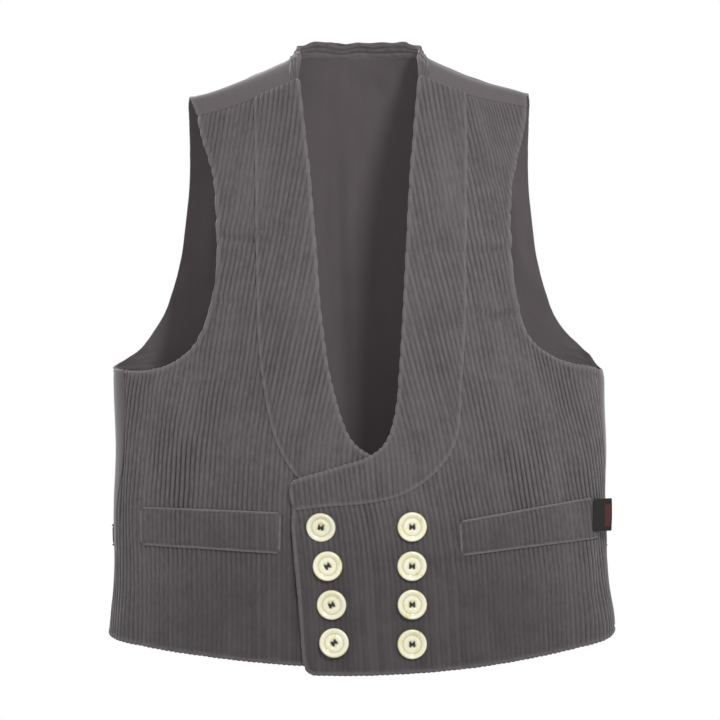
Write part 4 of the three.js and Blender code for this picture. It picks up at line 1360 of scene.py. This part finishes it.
# %% Pearl, thread and the eight buttons
BUTTON_PLACES = (  # girth, height, spin, tilt about the level line and the upright one
    (-35, -447, -6, (12, -2)), (-29, -484, 34, (-2, 3)), (-25, -520, 26, (3, -3)), (-23, -556, 40, (-9, 4)),
    (49, -447, 2, (0, 1)), (49, -484, -3, (1, -2)), (49, -520, 1, (-2, 1)), (49, -557, 4, (2, 0)))
PEARL_TONES = (  # place on the ramp, colour
    (0.28, (0.80, 0.72, 0.38, 1)), (0.42, (0.98, 0.93, 0.62, 1)), (0.57, (1.0, 0.975, 0.77, 1)))
BUTTON_SEAT = 1.6  # the height of its underside above the cloth's form
# Painted shade: rings of dark olive on the groove and on the rim's outer edge.
PAINTED_SHADE_RINGS = ((8.7, 0.7, 1.0), (13.9, 0.5, 1.3))  # radius, width and strength: the groove and the rim


def make_pearl():
    material, tree, shader = new_material("pearl", 0.2, Coat_Weight=0.8, Coat_Roughness=0.08,
                                          Subsurface_Weight=0.12, Subsurface_Scale=0.003)
    place = object_place(tree)
    clouds = noise(tree, place, 95.0, 4.0, 0.6)
    bands = put(tree, "ShaderNodeTexWave", {"Vector": place, "Scale": 60.0, "Distortion": 14.0,
                                            "Detail": 3.0, "Detail Scale": 1.5},
                wave_type="BANDS").outputs["Fac"]
    ramp = put(tree, "ShaderNodeValToRGB", {0: times_plus(tree, bands, 0.14, times(tree, clouds, 0.9))})
    ramp.color_ramp.elements.new(0.5)
    for stop, (position, tone) in zip(ramp.color_ramp.elements, PEARL_TONES):
        stop.position = position
        stop.color = tone
    # Painted shade in the groove and round the rim.
    painted_shade = times(tree, attribute(tree, "groove"), 0.55)
    colour = mixed(tree, painted_shade, ramp.outputs[0], (0.40, 0.34, 0.15, 1))
    surface(tree, shader, colour, bands, 0.08, 0.0003)
    return material


def make_thread_finish(name, dark, light):
    material, tree, shader = new_material(name, 0.7, Sheen_Weight=0.2)
    place = object_place(tree)
    twist = put(tree, "ShaderNodeTexWave", {"Vector": place, "Scale": 900.0, "Distortion": 1.0},
                wave_type="BANDS", bands_direction="DIAGONAL").outputs["Fac"]
    surface(tree, shader, mixed(tree, twist, dark, light), twist, 0.5, 0.0002)
    return material


def strand(bm, start, end, radius, bulge=0.35, strands=3):
    """A short stitch: a few drawn-out balls side by side, set a little above its two ends."""
    start, end = Vector(start), Vector(end)
    run = end - start
    side = run.cross(Vector((0, 0, 1))).normalized()
    turn = run.to_track_quat("X", "Z").to_matrix().to_4x4()
    for k in range(strands):
        shift = side * (k - (strands - 1) / 2) * radius * 1.25
        centre = (start + end) / 2 + shift + Vector((0, 0, bulge))
        place = Matrix.Translation(centre) @ turn
        size = Matrix.Diagonal((run.length / 2 + radius, radius, radius, 1))
        bmesh.ops.create_icosphere(bm, subdivisions=2, radius=1.0, matrix=place @ size)


def button_thread():
    bm = bmesh.new()
    h, top = HOLE_SPACING / 2, BUTTON_MIDDLE[1] + 0.25
    over = top + 0.5
    for start, end in (((-h, h, top), (-h, -h, top)), ((h, h, top), (h, -h, top)),
                       ((-h, -h, top), (h, h, top)), ((-h, h, over), (h, -h, over))):
        strand(bm, start, end, 0.36)
    return bm


PEARL = make_pearl()
DARK_THREAD = make_thread_finish("dark_thread", (0.012, 0.011, 0.011, 1), (0.05, 0.047, 0.047, 1))
GREY_THREAD = make_thread_finish("grey_thread", (0.085, 0.078, 0.080, 1), (0.15, 0.14, 0.143, 1))
THREADS = []
for number, (girth, z, spin, tilt) in enumerate(BUTTON_PLACES, 1):
    above = stand_off("left", np.array([float(girth)]), np.array([float(z)]))[0] + BUTTON_SEAT
    place = seat_on("front", girth, z, above, spin, tilt)
    disc, thread = button_mesh(), button_thread()
    radius = np.array([v.co.to_2d().length for v in disc.verts])
    for bm in (disc, thread):
        to_metres(bm)
        bmesh.ops.transform(bm, matrix=place, verts=bm.verts[:])
    PIECES[f"button_{number}"] = button = mesh_object(f"pearl_button_{number}", disc, PEARL)
    painted_shade = sum(strength * np.exp(-((radius - ring) / width) ** 2) for ring, width, strength in PAINTED_SHADE_RINGS)
    write_numbers(button.data, "groove", painted_shade)
    THREADS.append(mesh_object(f"button_thread_{number}", thread, DARK_THREAD))
print("buttons", number, "faces each", len(button.data.polygons))

# %% [markdown]
# ## Stitches
# The turned edges are sewn down with grey thread. Each stitch is a small drawn-out ball, half sunk in its
# groove, which is cheaper than a modelled thread and looks the same from arm's length.

# %% Rows of stitches
STITCH_PACE, STITCH_SIZE = 3.4, (1.2, 0.34, 0.34)
FROM_EDGE, FROM_ARMHOLE = 4.4, 4.8  # how far inside an edge its stitches run
STITCH_HEIGHT = {"front": FRONT_TOP + 0.15, "collar": COLLAR_TOP - 0.25}


def stitch_line(bm, at, line, up):
    """Stitches along a line of places on a form, at heights above it."""
    points = at(*line.T)
    run = np.concatenate([[0], np.cumsum(np.linalg.norm(np.diff(points, axis=0), axis=1))])
    stops = np.arange(STITCH_PACE, run[-1] - STITCH_PACE, STITCH_PACE)
    places = np.stack([np.interp(stops, run, column) for column in line.T], -1)
    heights = np.interp(stops, run, up)
    point, _, _, normal = frames_on(at, *places.T, 0.5)
    ahead = np.gradient(point, axis=0)
    for spot, up_way, forward, height in zip(point, normal, ahead, heights):
        z = Vector(up_way)
        x = (Vector(forward) - z * z.dot(Vector(forward))).normalized()
        spot = strayed((spot + up_way * height)[None])[0]
        place = Matrix.Translation(Vector(spot)) @ facing(x, z) @ Matrix.Diagonal((*STITCH_SIZE, 1))
        bmesh.ops.create_icosphere(bm, subdivisions=1, radius=1.0, matrix=place)


def sew(part, side, *lines):
    """Stitches along lines of a front or a collar, which rise and fall with its cloth."""
    bm = bmesh.new()
    for line, inset in lines:
        line = moved_in(line, inset, closed=False)
        creased = crease_lift(CREASES[f"{part}_{side}"], *line.T)
        stitch_line(bm, lambda girth, z: form_point("front", SIGN[side] * girth, z), line,
                    STITCH_HEIGHT[part] + stand_off(side, *line.T) + creased)
    to_metres(bm)
    THREADS.append(mesh_object(f"stitches_{part}_{side}", bm, GREY_THREAD))
    print(f"stitches_{part}_{side}", len(THREADS[-1].data.polygons) // 20, "stitches")


for side in SIGN:
    free_edge = [(edge_run(side), FROM_EDGE)] if side == "left" else []
    sew("front", side, (outer_runs(side)[0], -FROM_ARMHOLE), (hem_run(side), -FROM_EDGE), *free_edge)
    sew("collar", side, (collar_line(side), -FROM_EDGE))

# %% [markdown]
# ## Tying the pieces to the frame
# Each piece rides on the garment's one body and stands for its node.

# %% Riding
for name, obj in PIECES.items():
    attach(obj, "root")
    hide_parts(name)
for obj in THREADS:
    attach(obj, "root")

# %% [markdown]
# ## Floor and light
# The garment hangs at the height of a wearer's shoulders above a plain pale floor, with a white sky all
# round. A small soft lamp stands in front, a little to one side and above, so that the ribs show and the
# neck opening is dark on its other side. Another lamp stands behind and to the other side and grazes the
# folds of the back. The sky lights the cloth less than it shows, or the cloth would look flat.

# %% Floor, world and lights
FLOOR_Z, FLOOR_RADIUS = -1.45, 3.0
SKY_SEEN, SKY_CAST = 1.0, 0.655  # how bright the sky looks, and how strongly it lights
LIGHTS = (  # name, place, aim, power, radius, cone in degrees
    ("key", (0.26, -0.93, 0.07), (0.0, 0, -0.27), 17.0, 0.07, 70),
    ("behind", (-1.0, 0.95, 0.5), (0, 0.08, -0.3), 42.0, 0.08, 60))


def make_floor():
    bm = bmesh.new()
    bmesh.ops.create_circle(bm, cap_ends=True, segments=64, radius=FLOOR_RADIUS,
                            matrix=Matrix.Translation((0, 0, FLOOR_Z)))
    material, tree, shader = new_material("floor_paint", 0.9)
    paint = mixed(tree, noise(tree, object_place(tree), 6.0), (0.86, 0.86, 0.86, 1), (0.90, 0.90, 0.90, 1))
    tree.links.new(paint, shader.inputs["Base Color"])
    mesh_object("floor", bm, material, smooth=False)


def spot_light(name, place, aim, power, radius, cone):
    """A lamp whose light falls off smoothly from its axis to the edge of its cone."""
    data = bpy.data.lights.new(name, "SPOT")
    data.energy = power
    data.shadow_soft_size = radius
    data.spot_size = math.radians(cone)
    data.spot_blend = 1.0
    light = bpy.data.objects.new(name, data)
    light.location = place
    light.rotation_euler = (Vector(aim) - Vector(place)).to_track_quat("-Z", "Y").to_euler()
    bpy.context.scene.collection.objects.link(light)


def make_world(seen, cast):
    world = bpy.data.worlds.new("pale_sky")
    world.use_nodes = True
    tree = world.node_tree
    tree.nodes.clear()
    path = put(tree, "ShaderNodeLightPath")
    shown = put(tree, "ShaderNodeBackground", {"Color": (1, 1, 1, 1), "Strength": seen})
    lighting = put(tree, "ShaderNodeBackground", {"Color": (1, 1, 1, 1), "Strength": cast})
    mix = put(tree, "ShaderNodeMixShader", {0: path.outputs["Is Camera Ray"], 1: lighting.outputs[0],
                                            2: shown.outputs[0]})
    put(tree, "ShaderNodeOutputWorld", {0: mix.outputs[0]})
    bpy.context.scene.world = world


make_floor()
make_world(SKY_SEEN, SKY_CAST)
for light in LIGHTS:
    spot_light(*light)
bpy.context.scene.view_settings.view_transform = "Standard"
print("lights", len(LIGHTS), "floor at", FLOOR_Z, "m")
